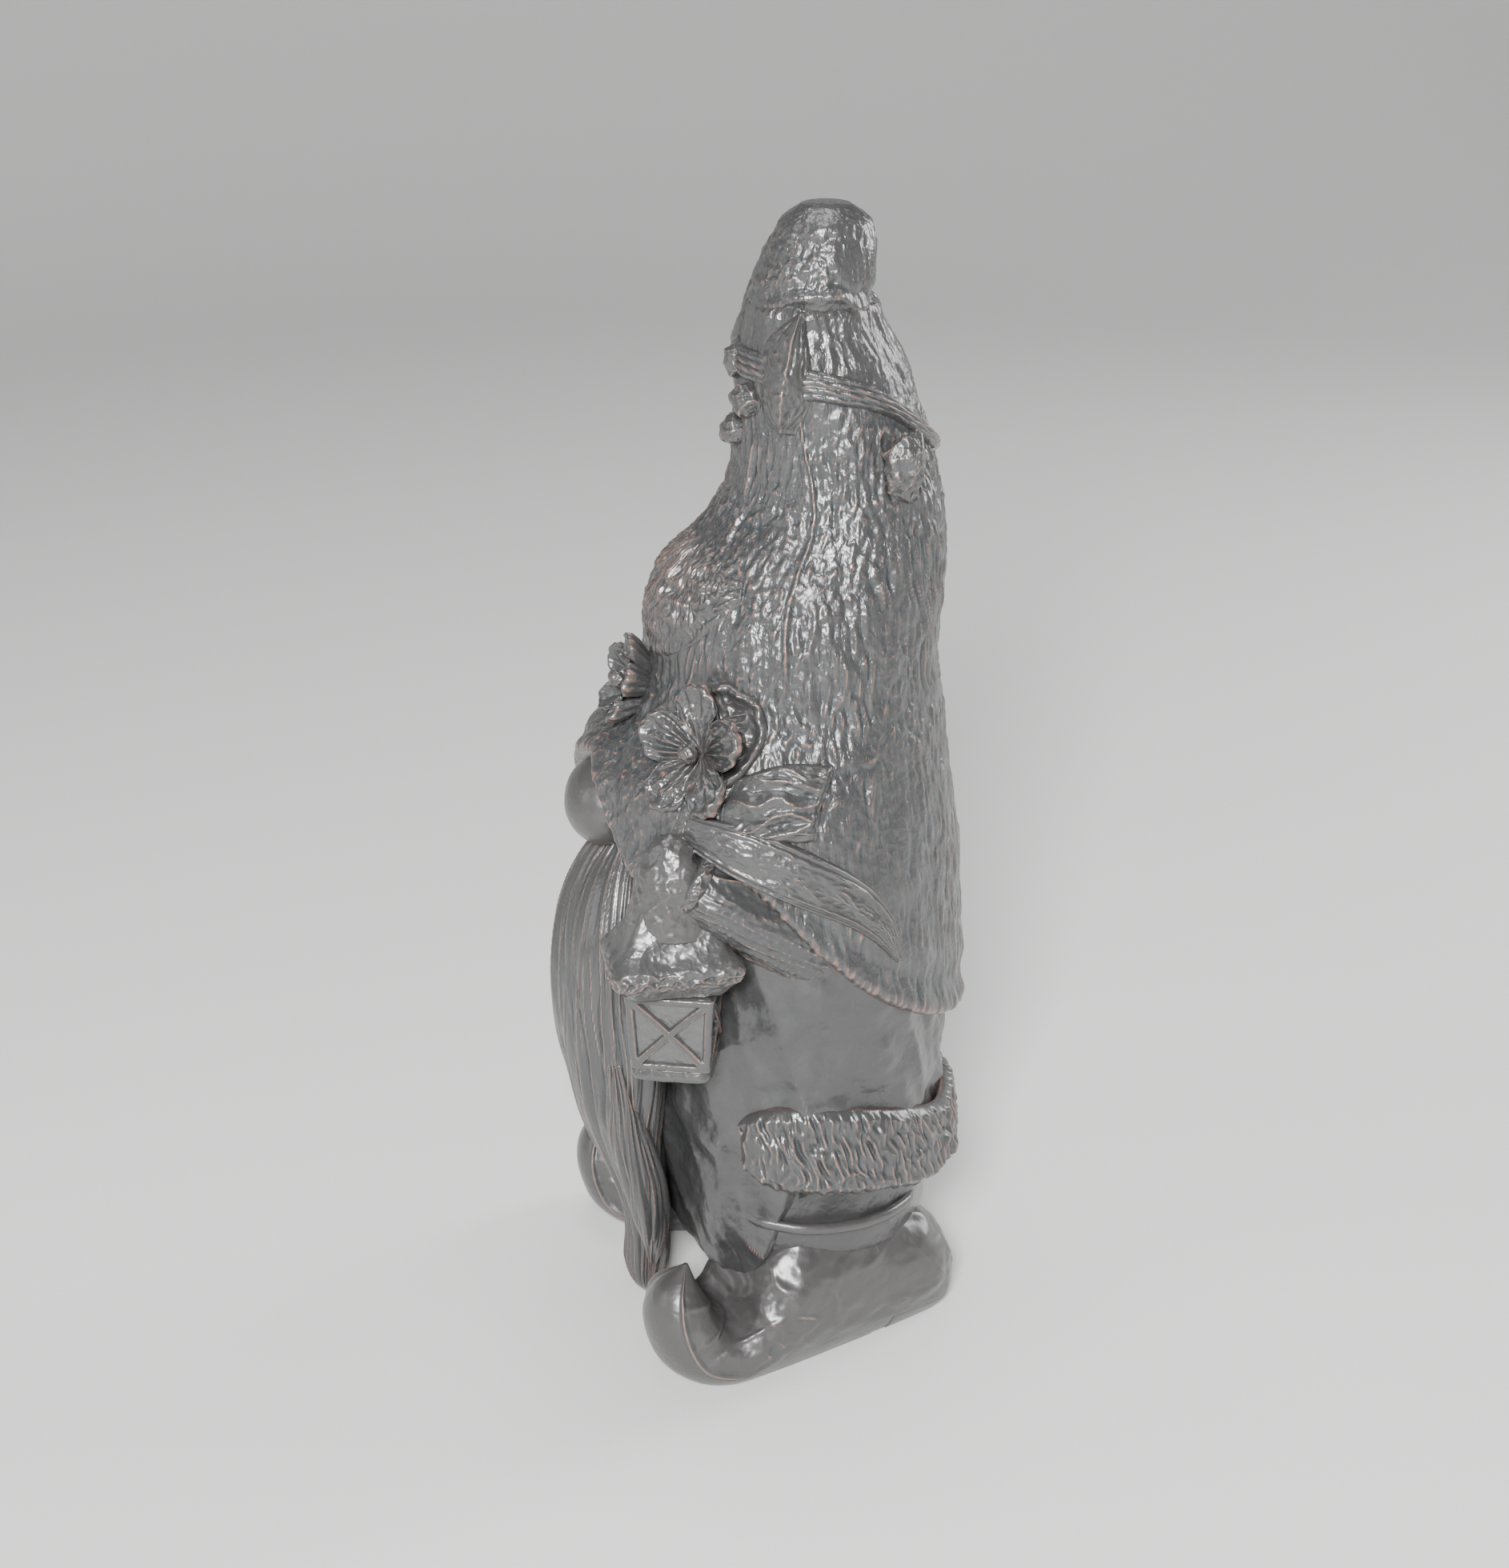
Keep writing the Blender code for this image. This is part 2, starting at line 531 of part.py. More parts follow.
def lantern_place(points, at=LANTERN_AT, yaw=LANTERN_YAW):
    """Turns points from the lantern's own upright axes into the gnome's."""
    turn = np.radians(-yaw)
    x, y, z = np.moveaxis(np.asarray(points, float), -1, 0)
    along = at[0] + x * np.cos(turn) - y * np.sin(turn)
    return np.stack([along, at[1] + x * np.sin(turn) + y * np.cos(turn), z], -1)


def square(half, z, per_side=1):
    """A square ring with the given half width."""
    t = np.linspace(-1, 1, per_side, endpoint=False) if per_side > 1 else np.array([-1.0])
    one = np.ones_like(t)
    x = np.concatenate([t, one, -t, -one])
    y = np.concatenate([-one, t, one, -t])
    return np.stack([half * x, half * y, z + 0 * x], -1)


def lantern_half(z):
    low, high = LANTERN_BOX
    return LANTERN_HALF[0] + (LANTERN_HALF[1] - LANTERN_HALF[0]) * (z - low) / (high - low)


def make_lantern():
    low, high = LANTERN_BOX
    outside = [square(lantern_half(z), z) for z in (low, high)]
    inside = [square(lantern_half(z) - LANTERN_WALL, z) for z in (high, low)]
    frame = solid("lantern_frame", lantern_place(outside + inside), "lantern", looped=True)
    middle, rail, post, bar = (low + high) / 2, 2.6, 2.4, 1.5
    half, tall = 11.5 - post, (high - low) / 2 - rail
    for number, (u, v) in enumerate(((1, 0), (0, 1), (-1, 0), (0, -1))):
        reach = half if u else tall
        other = tall if u else half
        gap = bar * 1.5
        triangle = [(gap, 0), (reach, other * (1 - gap / reach)), (reach, -other * (1 - gap / reach))]
        across = np.array([(p * u - q * v, p * v + q * u) for p, q in triangle])
        for axis in (0, 1):
            ends = []
            for end in (-20, 20):
                ring = np.zeros((3, 3))
                ring[:, axis] = end
                ring[:, 1 - axis] = across[:, 0]
                ring[:, 2] = middle + across[:, 1]
                ends.append(ring)
            points, faces = mesh_data(lantern_place(ends))
            take_away(frame, make_object(f"window_{number}_{axis}", points, faces), "MANIFOLD")
    cut(frame, "coat_solid")

    for number, word in enumerate(("front", "outer", "back", "inner")):
        turn = np.radians(90 * number)
        rotate = np.array([[np.cos(turn), -np.sin(turn), 0], [np.sin(turn), np.cos(turn), 0], [0, 0, 1]])
        rings = []
        for z in (low + 0.4, high - 0.4):
            far = lantern_half(z) - LANTERN_WALL - 0.4
            side = far - 1.4
            rings.append(np.array([(-side, -far, z), (side, -far, z), (side, -far + 1.2, z), (-side, -far + 1.2, z)]) @ rotate.T)
        cut(solid(f"lantern_pane_{word}", lantern_place(rings), "pane"), "coat_solid")

    base = [square(8.6, LANTERN_FLOOR), square(10.4, LANTERN_FLOOR + 0.9), square(11, low - 1.2), square(10.6, low - 0.4)]
    cut(solid("lantern_base", lantern_place(base), "lantern"), "coat_solid")
    roof = [square(half, z, 4) for z, half in LANTERN_ROOF]
    cut(solid("lantern_roof", lantern_place(roof, ROOF_AT, ROOF_YAW), "lantern"), "coat_solid", "left_sleeve", "left_cuff", "left_mitten")


# ---------------------------------------------------------------- face


def make_face():
    nose = solid("nose", ellipsoid((0, -42.0, 160.5), (13, 12.0, 12.8), 13, 24), "skin")
    cut(nose, "hat_solid", "coat_solid")

    level = np.linspace(0, BEARD_Z[-1], 17)
    front, half, back = (smooth(BEARD_Z, k, level)[:, None] for k in (BEARD_FRONT, BEARD_HALF, BEARD_BACK))
    turn = np.radians(np.linspace(0, 360, 24, endpoint=False))
    centre, deep = (front + back) / 2, (back - front) / 2
    rings = np.stack([half * np.sin(turn), centre - deep * np.cos(turn), level[:, None] + 0 * turn], -1)
    beard = solid("beard", rings, "beard")
    cut(beard, "coat_solid", "hat_solid", "nose", "trousers", "left_mitten", "right_mitten")
    cut(beard, "lantern_roof", "lantern_hull", "right_cuff", "right_sleeve")
    cut(beard, *(f"{side}_boot_{piece}" for side in ("left", "right") for piece in ("upper", "sole")))
    for side, word in ((1, "left"), (-1, "right")):
        path = through(np.array(LOCK) * (side, 1, 1), 14)
        thickness = smooth([0, 0.3, 0.7, 1], [2, 5.4, 5.4, 1.6], np.linspace(0, 1, 14))
        lock = solid(f"beard_lock_{word}", swept(path, thickness, 12, up=(0, 1, 0)), "beard")
        cut(lock, "beard", "coat_solid", "trousers", f"{word}_boot_upper", f"{word}_boot_sole")


def main():
    clear_scene()
    make_hat()
    make_decorations()
    make_coat()
    make_boot(1, "left")
    make_boot(-1, "right")
    make_trousers()
    make_arm("left", LEFT_ARM)
    make_arm("right", RIGHT_ARM)
    make_lantern()
    hull = [square(half + 1, z) for z, half in ((LANTERN_FLOOR - 1, 12.6), (LANTERN_ROOF[0][0], 13.6))]
    points, faces = mesh_data(lantern_place(hull))
    make_object("lantern_hull_cutter", points, faces)
    make_face()


main()
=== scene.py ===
"""Builds the finished look of a cast garden gnome round its packed CAD frame.

The gnome faces -Y and its left hand, with the lantern, is on +X. Shapes are worked out in millimetres from the
figure's own axis. Every casting is a grid of rings: a function of how far along the piece a ring is and how
far round it a point is, raised along its normal by a relief such as grain, strands, veins or creases.
"""

import bpy
import numpy as np
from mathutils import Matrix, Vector


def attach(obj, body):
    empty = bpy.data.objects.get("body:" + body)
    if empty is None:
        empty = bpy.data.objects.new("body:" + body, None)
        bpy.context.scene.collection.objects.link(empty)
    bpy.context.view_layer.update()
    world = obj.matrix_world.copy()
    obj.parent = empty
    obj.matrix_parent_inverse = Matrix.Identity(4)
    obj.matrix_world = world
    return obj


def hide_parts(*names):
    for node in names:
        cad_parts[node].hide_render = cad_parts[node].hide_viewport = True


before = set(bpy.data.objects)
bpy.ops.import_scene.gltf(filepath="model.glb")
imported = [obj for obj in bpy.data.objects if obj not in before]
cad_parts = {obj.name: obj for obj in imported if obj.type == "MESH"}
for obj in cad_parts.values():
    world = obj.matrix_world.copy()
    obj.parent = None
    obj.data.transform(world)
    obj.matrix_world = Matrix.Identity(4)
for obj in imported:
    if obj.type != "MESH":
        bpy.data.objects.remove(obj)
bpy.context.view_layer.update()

bl_info = {
    "name": "Garden gnome with lantern",
    "version": (1, 0, 0),
    "blender": (4, 5, 0),
    "location": "3D View > Sidebar > Gnome",
    "description": "Builds a cast garden gnome with a tall hat, beard, flowers and a lantern",
    "category": "Add Mesh",
}

MM = 0.001
SHARPNESS_GAIN = 3.2
ORIGIN = np.array((0.445, 0.825, 0.0))  # middle of the footprint, from the figure's axis

# Hat: height, centre, half depth and half width
HAT_Z = [88, 110, 140, 166, 174, 183, 198, 209, 220, 230, 240, 250, 262, 279, 290, 297]
HAT_CENTRE = [4, 4, 3.6, 2, 2.5, 6.5, 9.9, 11, 13.3, 16.8, 21, 21.9, 20.5, 18, 15.7, 15.2]
HAT_DEPTH = [55.6, 54.8, 52.2, 50.5, 49, 44.4, 39.2, 38.6, 37.2, 34.1, 29.7, 26.7, 24.6, 21.3, 17.6, 16.2]
HAT_WIDTH = [60, 59.8, 58, 55, 53, 49, 43.5, 41.5, 38.5, 35, 31, 27.5, 25, 21.3, 17.6, 16.2]
HAT_TOP = 296.8
HAT_WALL = 4.5
RIM_AT_AXIS = 136.3
RIM_FALL = 0.745
RIM_CURTAIN = ([0, 12, 22, 33, 44, 60, 90, 105, 130, 180], [1.5, -2, -8, -14, 0, 0, -1.5, -1.5, 0, 0])
RIM_OVER_ARM = ([0, 44, 53, 64, 72, 80, 92, 180], [0, 0, 5, 7.5, 7, 3.5, 0, 0])

# Folded hat tip: height, centre and radius
TIP_Z = [291, 294.5, 297.5, 304, 311, 315.5, 318.3]
TIP_CENTRE = [15.6, 15.4, 15.4, 16.6, 18.4, 18.8, 18.8]
TIP_RADIUS = [14.0, 15.2, 15.9, 15.0, 12.9, 10.8, 6.5]
TIP_FOLD = ([0, 43, 70, 99, 115, 150, 180], [293, 296.5, 298, 297.5, 295.5, 293, 292])

# Cord round the hat: angle away from the front, height and half width
BAND = (
    [0, 44, 52, 68, 82, 99, 115, 131, 147, 166, 180],
    [280, 278.5, 277.5, 277, 276, 274, 270.5, 265.5, 260, 255.5, 254],
)
BAND_HALF = ([0, 52, 99, 131, 180], [3.6, 4.0, 3.4, 2.6, 2.2])

# Leaves on the hat: angles, heights and half widths from the base to the point
HOLLY = ([46, 51, 57, 66], [265, 274, 283.5, 295], [3.5, 6.4, 4.8, 0.3])
TUFT = ([-44, -20, 0, 20, 44], [226, 220, 218, 220, 226], [3, 12, 16, 12, 3])
LONG_LEAF = ([50, 66, 82, 97, 106, 112], [169, 165, 158.5, 150, 141, 130], [4, 7, 7.5, 6.5, 4.5, 1.2])
SHORT_LEAF = ([60, 74, 89], [176, 177, 176], [6, 8.8, 9.0])

# Long raised lines on the hat: rising heights and the angle at each
HAT_LINES = [
    ([205, 222, 249, 262, 275], [70, 66, 61, 57, 55]),
    ([222, 228, 236, 252, 262], [30, 26, 21, 18, 22]),
]

# Coat: height, centre, front depth, back depth and half width
COAT_Z = [34, 50, 62, 76, 92, 110, 130, 148, 160, 168]
COAT_CENTRE = [7, 7, 7.3, 7.5, 7, 6, 5, 4, 3, 3]
COAT_FRONT = [34, 36, 37, 38, 38, 38, 37, 35, 29, 17]
COAT_BACK = [47, 48, 47.5, 46.5, 45.9, 45, 42, 36, 28, 16]
COAT_WIDTH = [50, 53, 53, 52, 51.5, 51, 49, 43, 34, 20]
HEM_AT_AXIS, HEM_FALL = 61.0, 0.17
FUR_TOP = ([0, 50, 77, 96, 115, 140, 180], [84, 84, 86, 84.5, 79.5, 72, 69])
FUR_LOW = ([0, 50, 79, 102, 123, 150, 180], [62, 61.5, 60, 58, 53.5, 51, 50])
FUR_FROM = 50.0

# Beard: height, front, half width and back
BEARD_Z = [0, 3, 10, 21, 38, 52, 70, 86, 99, 114, 128, 143, 152]
BEARD_FRONT = [-36.5, -38.5, -39.6, -39.4, -42.4, -47.6, -54, -57.6, -58.8, -58.3, -55.6, -48.5, -41.5]
BEARD_HALF = [4, 7, 9, 10.5, 13, 17, 23, 26.5, 27.5, 27, 25, 19, 12]
BEARD_BACK = [-31, -29, -27, -26, -26, -27, -27, -26, -25, -25, -25, -25, -28]
LOCK = [(24, -47, 92), (22, -44, 72), (17.5, -38, 50), (13, -34, 30), (9.5, -33, 16)]

# Forearms, from the elbow to the wrist
LEFT_ARM = [(33, 20, 120), (43, 6, 129), (46.5, -9, 140), (46, -22, 149.5), (44.5, -28, 153.5)]
RIGHT_ARM = [(-38, 18, 112), (-46, 2, 120), (-46, -14, 121), (-41, -26, 116), (-37, -31, 113)]

# Mitten over the wrist, from its point down to the grip
HAND = [(-1, -7, 15.6), (-1, -6.8, 10), (-1.5, -6.5, 2), (-2.4, -6.5, -11)]

# Boots: along the sole, height, tilt in degrees, half height and half width
BOOT_ALONG = [1, 6, 17, 33, 48, 59, 68.5, 76, 83.5, 87.6, 88.0, 86.0]
BOOT_RISE = [11, 14, 18, 20.5, 22.5, 21, 16, 12.6, 14.5, 22.5, 30.5, 37]
BOOT_TILT = [0, 0, 0, 0, 0, 0, 4, 22, 58, 88, 98, 106]
BOOT_HALF_HEIGHT = [8, 14, 18, 20.5, 22.5, 21, 16, 12.6, 10.5, 8.7, 5.8, 0.9]
BOOT_HALF_WIDTH = [9, 14, 17, 18.5, 19.5, 20, 19.8, 18.5, 16.0, 12.8, 8.0, 1.0]
BOOT_HEEL = (21.0, 51.0)
BOOT_TOE_OUT = 15.0
SOLE_ANGLE = 60.0

# Lantern
LANTERN_AT = (39.5, -33.0)
LANTERN_YAW = 24.0
LANTERN_FLOOR = 98.5
LANTERN_BOX = (102.0, 125.0)
LANTERN_HALF = (10.8, 12.2)
ROOF_AT = (40.0, -34.5)
ROOF_YAW = 6.0
LANTERN_ROOF = ([125.5, 131.5, 135.6, 138.4, 142.5, 147.5, 153], [12.6, 17.0, 17.3, 14.6, 12.0, 10.0, 8.0])

# Finish by slot: size of the strokes in metres, share of crumple among them, their height in metres, roughness
FINISH = {
    "hat": ((0.0010, 0.0010, 0.0042), 0.55, 0.00050, 0.30),
    "coat": ((0.0032, 0.0032, 0.0032), 0.45, 0.00030, 0.34),
    "beard": ((0.0010, 0.0010, 0.0075), 0.20, 0.00026, 0.32),
    "skin": ((0.0030, 0.0030, 0.0030), 0.45, 0.00024, 0.34),
    "boot": ((0.0032, 0.0032, 0.0032), 0.35, 0.00022, 0.37),
    "flower": ((0.0016, 0.0016, 0.0016), 0.50, 0.00026, 0.31),
    "lantern": ((0.0022, 0.0022, 0.0022), 0.60, 0.00038, 0.30),
    "pane": ((0.0022, 0.0022, 0.0022), 0.75, 0.00042, 0.26),
}
SPECULAR = 0.75
COAT_WEIGHT = 0.22
COAT_ROUGHNESS = 0.22

# Lights: name, place and size in metres, and watts
LIGHT_AIM = (0, 0, 0.17)
WORLD_STRENGTH = 0.09
LIGHTS = (
    ("Key", (1.12, -0.46, 0.90), (0.32, 0.32), 46),
    ("Front", (0.15, -1.3, 0.6), (0.5, 0.7), 3),
    ("Rim", (-0.25, 1.1, 0.55), (0.35, 0.6), 9),
    ("Top", (-0.2, 0.0, 1.2), (0.6, 0.6), 6),
)


# ---------------------------------------------------------------- numbers


def smooth(knots, values, at):
    """A curve through the values, with each knot's slope taken across its two neighbours."""
    knots, values, at = (np.asarray(a, float) for a in (knots, values, at))
    slopes = np.gradient(values, knots)
    i = np.clip(np.searchsorted(knots, at) - 1, 0, len(knots) - 2)
    span = knots[i + 1] - knots[i]
    t = np.clip((at - knots[i]) / span, 0, 1)
    start = (1 + 2 * t) * (1 - t) ** 2 * values[i] + t * (1 - t) ** 2 * span * slopes[i]
    end = t * t * (3 - 2 * t) * values[i + 1] + t * t * (t - 1) * span * slopes[i + 1]
    return start + end


def step(low, high, x):
    """0 below low, 1 above high and an S-curve between."""
    t = np.clip((x - low) / (high - low), 0, 1)
    return t * t * (3 - 2 * t)


def stack(*parts):
    """The parts as the last axis of one array, each stretched to their common shape."""
    return np.stack(np.broadcast_arrays(*parts), -1)


def bump(x, centre, half):
    """1 at the centre, falling in a bell to nothing about two halves away."""
    return np.exp(-(((x - centre) / half) ** 2))


def along_line(angle, z, heights, angles, width):
    """1 on a line that rises through the heights at the given angles, falling to 0 beside it and at its ends.
    A degree of the hat is taken as 0.7 mm."""
    beside = (angle - smooth(heights, angles, z)) * 0.7
    return bump(beside, 0, width) * step(heights[0], heights[0] + 6, z) * step(heights[-1], heights[-1] - 6, z)


def hashed(cell, seed):
    """A repeatable number from -1 to 1 for each whole-numbered cell: its three indices are multiplied by large
    primes and their bits mixed."""
    x, y, z = (cell[..., k].astype(np.int64) for k in range(3))
    mixed = ((x * 73856093) ^ (y * 19349663) ^ (z * 83492791) ^ (seed * 40503001)) & 0xFFFFFFFF
    mixed = ((mixed ^ (mixed >> 13)) * 1274126177) & 0xFFFFFFFF
    mixed = ((mixed ^ (mixed >> 15)) * 668265263) & 0xFFFFFFFF
    return (mixed >> 8) / 8388607.5 - 1


def noise(place, seed=0):
    """Gradient noise from about -1 to 1: each corner of a cell has a random slope, and the slopes' heights are
    blended with a fifth-power S-curve."""
    place = np.asarray(place, float)
    base = np.floor(place)
    within = place - base
    blend = within**3 * (within * (within * 6 - 15) + 10)
    total = np.zeros(place.shape[:-1])
    for corner in np.ndindex(2, 2, 2):
        corner = np.array(corner)
        away = within - corner
        slope = np.stack([hashed(base + corner, 3 * seed + k) for k in range(3)], -1)
        weight = np.prod(np.where(corner, blend, 1 - blend), axis=-1)
        total += weight * (slope * away).sum(-1)
    return total * 1.5


def crests(place, seed=0):
    """Noise folded at its zero line, which leaves thin raised lines between broad hollows."""
    return 1 - 2.6 * np.abs(noise(place, seed))


def rough(place, seed=0):
    """Noise with two finer layers added at half and a quarter strength."""
    place = np.asarray(place, float)
    return noise(place, seed) + 0.5 * noise(place * 2.03, seed + 1) + 0.25 * noise(place * 4.1, seed + 2)


def wander(place, reach, scale, seed):
    """A slow push of up to the reach along each axis, which bends the noise that is read at place + push."""
    return reach * stack(*(noise(place / scale, seed + k) for k in range(3)))


# ---------------------------------------------------------------- grids of rings


def shares(count):
    return np.linspace(0, 1, count)


def turns(count):
    return np.linspace(0, 360, count, endpoint=False)


def grid_normals(rings, looped):
    """Unit normals from the difference of the neighbours round each ring and along the rings."""
    across = np.roll(rings, -1, 1) - np.roll(rings, 1, 1)
    along = np.roll(rings, -1, 0) - np.roll(rings, 1, 0) if looped else np.gradient(rings, axis=0)
    normal = np.cross(across, along)
    normal /= np.maximum(np.linalg.norm(normal, axis=-1, keepdims=True), 1e-9)
    return normal * outward_sign(rings, looped)


def outward_sign(rings, looped):
    """1 where across x along points out of the solid, from the sign of the volume under the grid's quads."""
    following = np.roll(rings, -1, 0) if looped else rings[1:]
    here = rings if looped else rings[:-1]
    middle = rings.reshape(-1, 3).mean(0)
    beside, opposite = np.roll(here, -1, 1), np.roll(following, -1, 1)
    volume = np.einsum("ijk,ijk->", here - middle, np.cross(beside - middle, opposite - middle))
    volume += np.einsum("ijk,ijk->", here - middle, np.cross(opposite - middle, following - middle))
    return 1.0 if volume > 0 else -1.0


def relief(rings, amount, looped=False):
    """Moves every point of the grid out along its normal by the amount, in millimetres."""
    return rings + np.asarray(amount)[..., None] * grid_normals(rings, looped)


def sharpness(rings, looped):
    """How far each point stands above the mean of its four neighbours, against their spacing: near 1 on a
    crest and -1 in a crease."""
    if looped:
        before, after = np.roll(rings, 1, 0), np.roll(rings, -1, 0)
    else:
        padded = np.concatenate([2 * rings[:1] - rings[1:2], rings, 2 * rings[-1:] - rings[-2:-1]])
        before, after = padded[:-2], padded[2:]
    left, right = np.roll(rings, 1, 1), np.roll(rings, -1, 1)
    normal = grid_normals(rings, looped)
    total = 0
    for one, other in ((left, right), (before, after)):
        above = ((rings - (one + other) / 2) * normal).sum(-1)
        total = total + above / np.linalg.norm(other - one, axis=-1).clip(0.05)
    return np.clip(SHARPNESS_GAIN * total, -1, 1)


def add_piece(node, slot, rings, looped=False, name=None):
    """A closed mesh from rings: quads between them, and a fan to a pole at each open end. Its crests attribute
    holds the sharpness of the surface. It is named after the CAD node unless it has a name of its own."""
    name = name or node + "_cast"
    rings = np.asarray(rings, float)
    count, sides = rings.shape[:2]
    sharp = sharpness(rings, looped).ravel()
    points = rings.reshape(-1, 3)
    i, j = np.meshgrid(np.arange(count if looped else count - 1), np.arange(sides), indexing="ij")
    after_i, after_j = (i + 1) % count, (j + 1) % sides
    quads = stack(i * sides + j, i * sides + after_j, after_i * sides + after_j, after_i * sides + j)
    quads = quads.reshape(-1, 4)
    fans = np.zeros((0, 3), int)
    if not looped:
        j = np.arange(sides)
        beside = (j + 1) % sides
        last = (count - 1) * sides
        first_pole, last_pole = len(points), len(points) + 1
        points = np.vstack([points, rings[0].mean(0), rings[-1].mean(0)])
        sharp = np.append(sharp, [0, 0])
        fans = np.vstack([
            stack(np.full(sides, first_pole), beside, j),
            stack(np.full(sides, last_pole), last + j, last + beside),
        ])
    if outward_sign(rings, looped) < 0:
        quads, fans = quads[:, ::-1], fans[:, ::-1]
    mesh = bpy.data.meshes.new(name)
    corners = np.concatenate([quads.ravel(), fans.ravel()]).astype(np.int32)
    sizes = np.concatenate([np.full(len(quads), 4), np.full(len(fans), 3)])
    starts = np.concatenate([[0], np.cumsum(sizes)[:-1]]).astype(np.int32)
    mesh.vertices.add(len(points))
    mesh.vertices.foreach_set("co", ((points - ORIGIN) * MM).ravel().astype(np.float32))
    mesh.loops.add(len(corners))
    mesh.loops.foreach_set("vertex_index", corners)
    mesh.polygons.add(len(sizes))
    mesh.polygons.foreach_set("loop_start", starts)
    mesh.update(calc_edges=True)
    mesh.validate()
    mesh.attributes.new("crests", "FLOAT", "POINT").data.foreach_set("value", sharp.astype(np.float32))
    mesh.shade_smooth()
    obj = bpy.data.objects.new(name, mesh)
    bpy.context.scene.collection.objects.link(obj)
    mesh.materials.append(resin(slot))
    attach(obj, "root")
    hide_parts(node)
    return obj


def swept(path, radii, sides=96, squash=1.0, up=(0, 0, 1)):
    """Round sections square to a path, each with its own radius and flattened along the up side."""
    path = np.asarray(path, float)
    along = np.gradient(path, axis=0)
    along /= np.linalg.norm(along, axis=1, keepdims=True)
    side = np.cross(along, np.asarray(up, float))
    side /= np.linalg.norm(side, axis=1, keepdims=True)
    over = np.cross(side, along)
    turn = np.radians(turns(sides))
    radii = np.asarray(radii, float)[:, None, None]
    section = side[:, None] * np.cos(turn)[:, None] + squash * over[:, None] * np.sin(turn)[:, None]
    return path[:, None] + radii * section


def through(points, steps):
    """steps points along a smooth curve through the given ones."""
    points = np.asarray(points, float)
    at = np.linspace(0, len(points) - 1, steps)
    return np.stack([smooth(range(len(points)), points[:, k], at) for k in range(3)], -1)


def ball(centre, radii, rings=90, sides=140):
    """Rings of an ellipsoid from its lowest to its highest point."""
    rise = np.linspace(-np.pi / 2, np.pi / 2, rings + 2)[1:-1, None]
    turn = np.radians(turns(sides))
    parts = [np.cos(rise) * np.sin(turn), -np.cos(rise) * np.cos(turn), np.sin(rise) + 0 * turn]
    return np.stack(parts, -1) * radii + centre


def faceted(radii, planes, seed, rings=80, sides=110):
    """An ellipsoid cut by random planes: each direction reaches to the nearest plane, which is 1 over the dot
    product of the plane's normal and the direction."""
    ways = ball((0, 0, 0), (1, 1, 1), rings, sides)
    normals = np.random.default_rng(seed).normal(size=(planes, 3))
    normals /= np.linalg.norm(normals, axis=1, keepdims=True)
    reach = 1 / np.maximum((ways @ normals.T).max(-1), 0.74)
    return ways * reach[..., None] * radii


# ---------------------------------------------------------------- materials


def noise_texture(tree, vector, scale, detail=2.0):
    node = tree.nodes.new("ShaderNodeTexNoise")
    node.inputs["Scale"].default_value = scale
    node.inputs["Detail"].default_value = detail
    tree.links.new(vector, node.inputs["Vector"])
    return node


def link_math(tree, operation, first, second, clamp=False):
    node = tree.nodes.new("ShaderNodeMath")
    node.operation = operation
    node.use_clamp = clamp
    for socket, value in zip(node.inputs, (first, second)):
        if isinstance(value, (int, float)):
            socket.default_value = value
        else:
            tree.links.new(value, socket)
    return node.outputs[0]


def link_mix(tree, factor, first, second):
    node = tree.nodes.new("ShaderNodeMix")
    node.data_type = "RGBA"
    for name, value in (("Factor", factor), ("A", first), ("B", second)):
        if isinstance(value, (int, float, tuple)):
            node.inputs[name].default_value = value
        else:
            tree.links.new(value, node.inputs[name])
    return node.outputs["Result"]


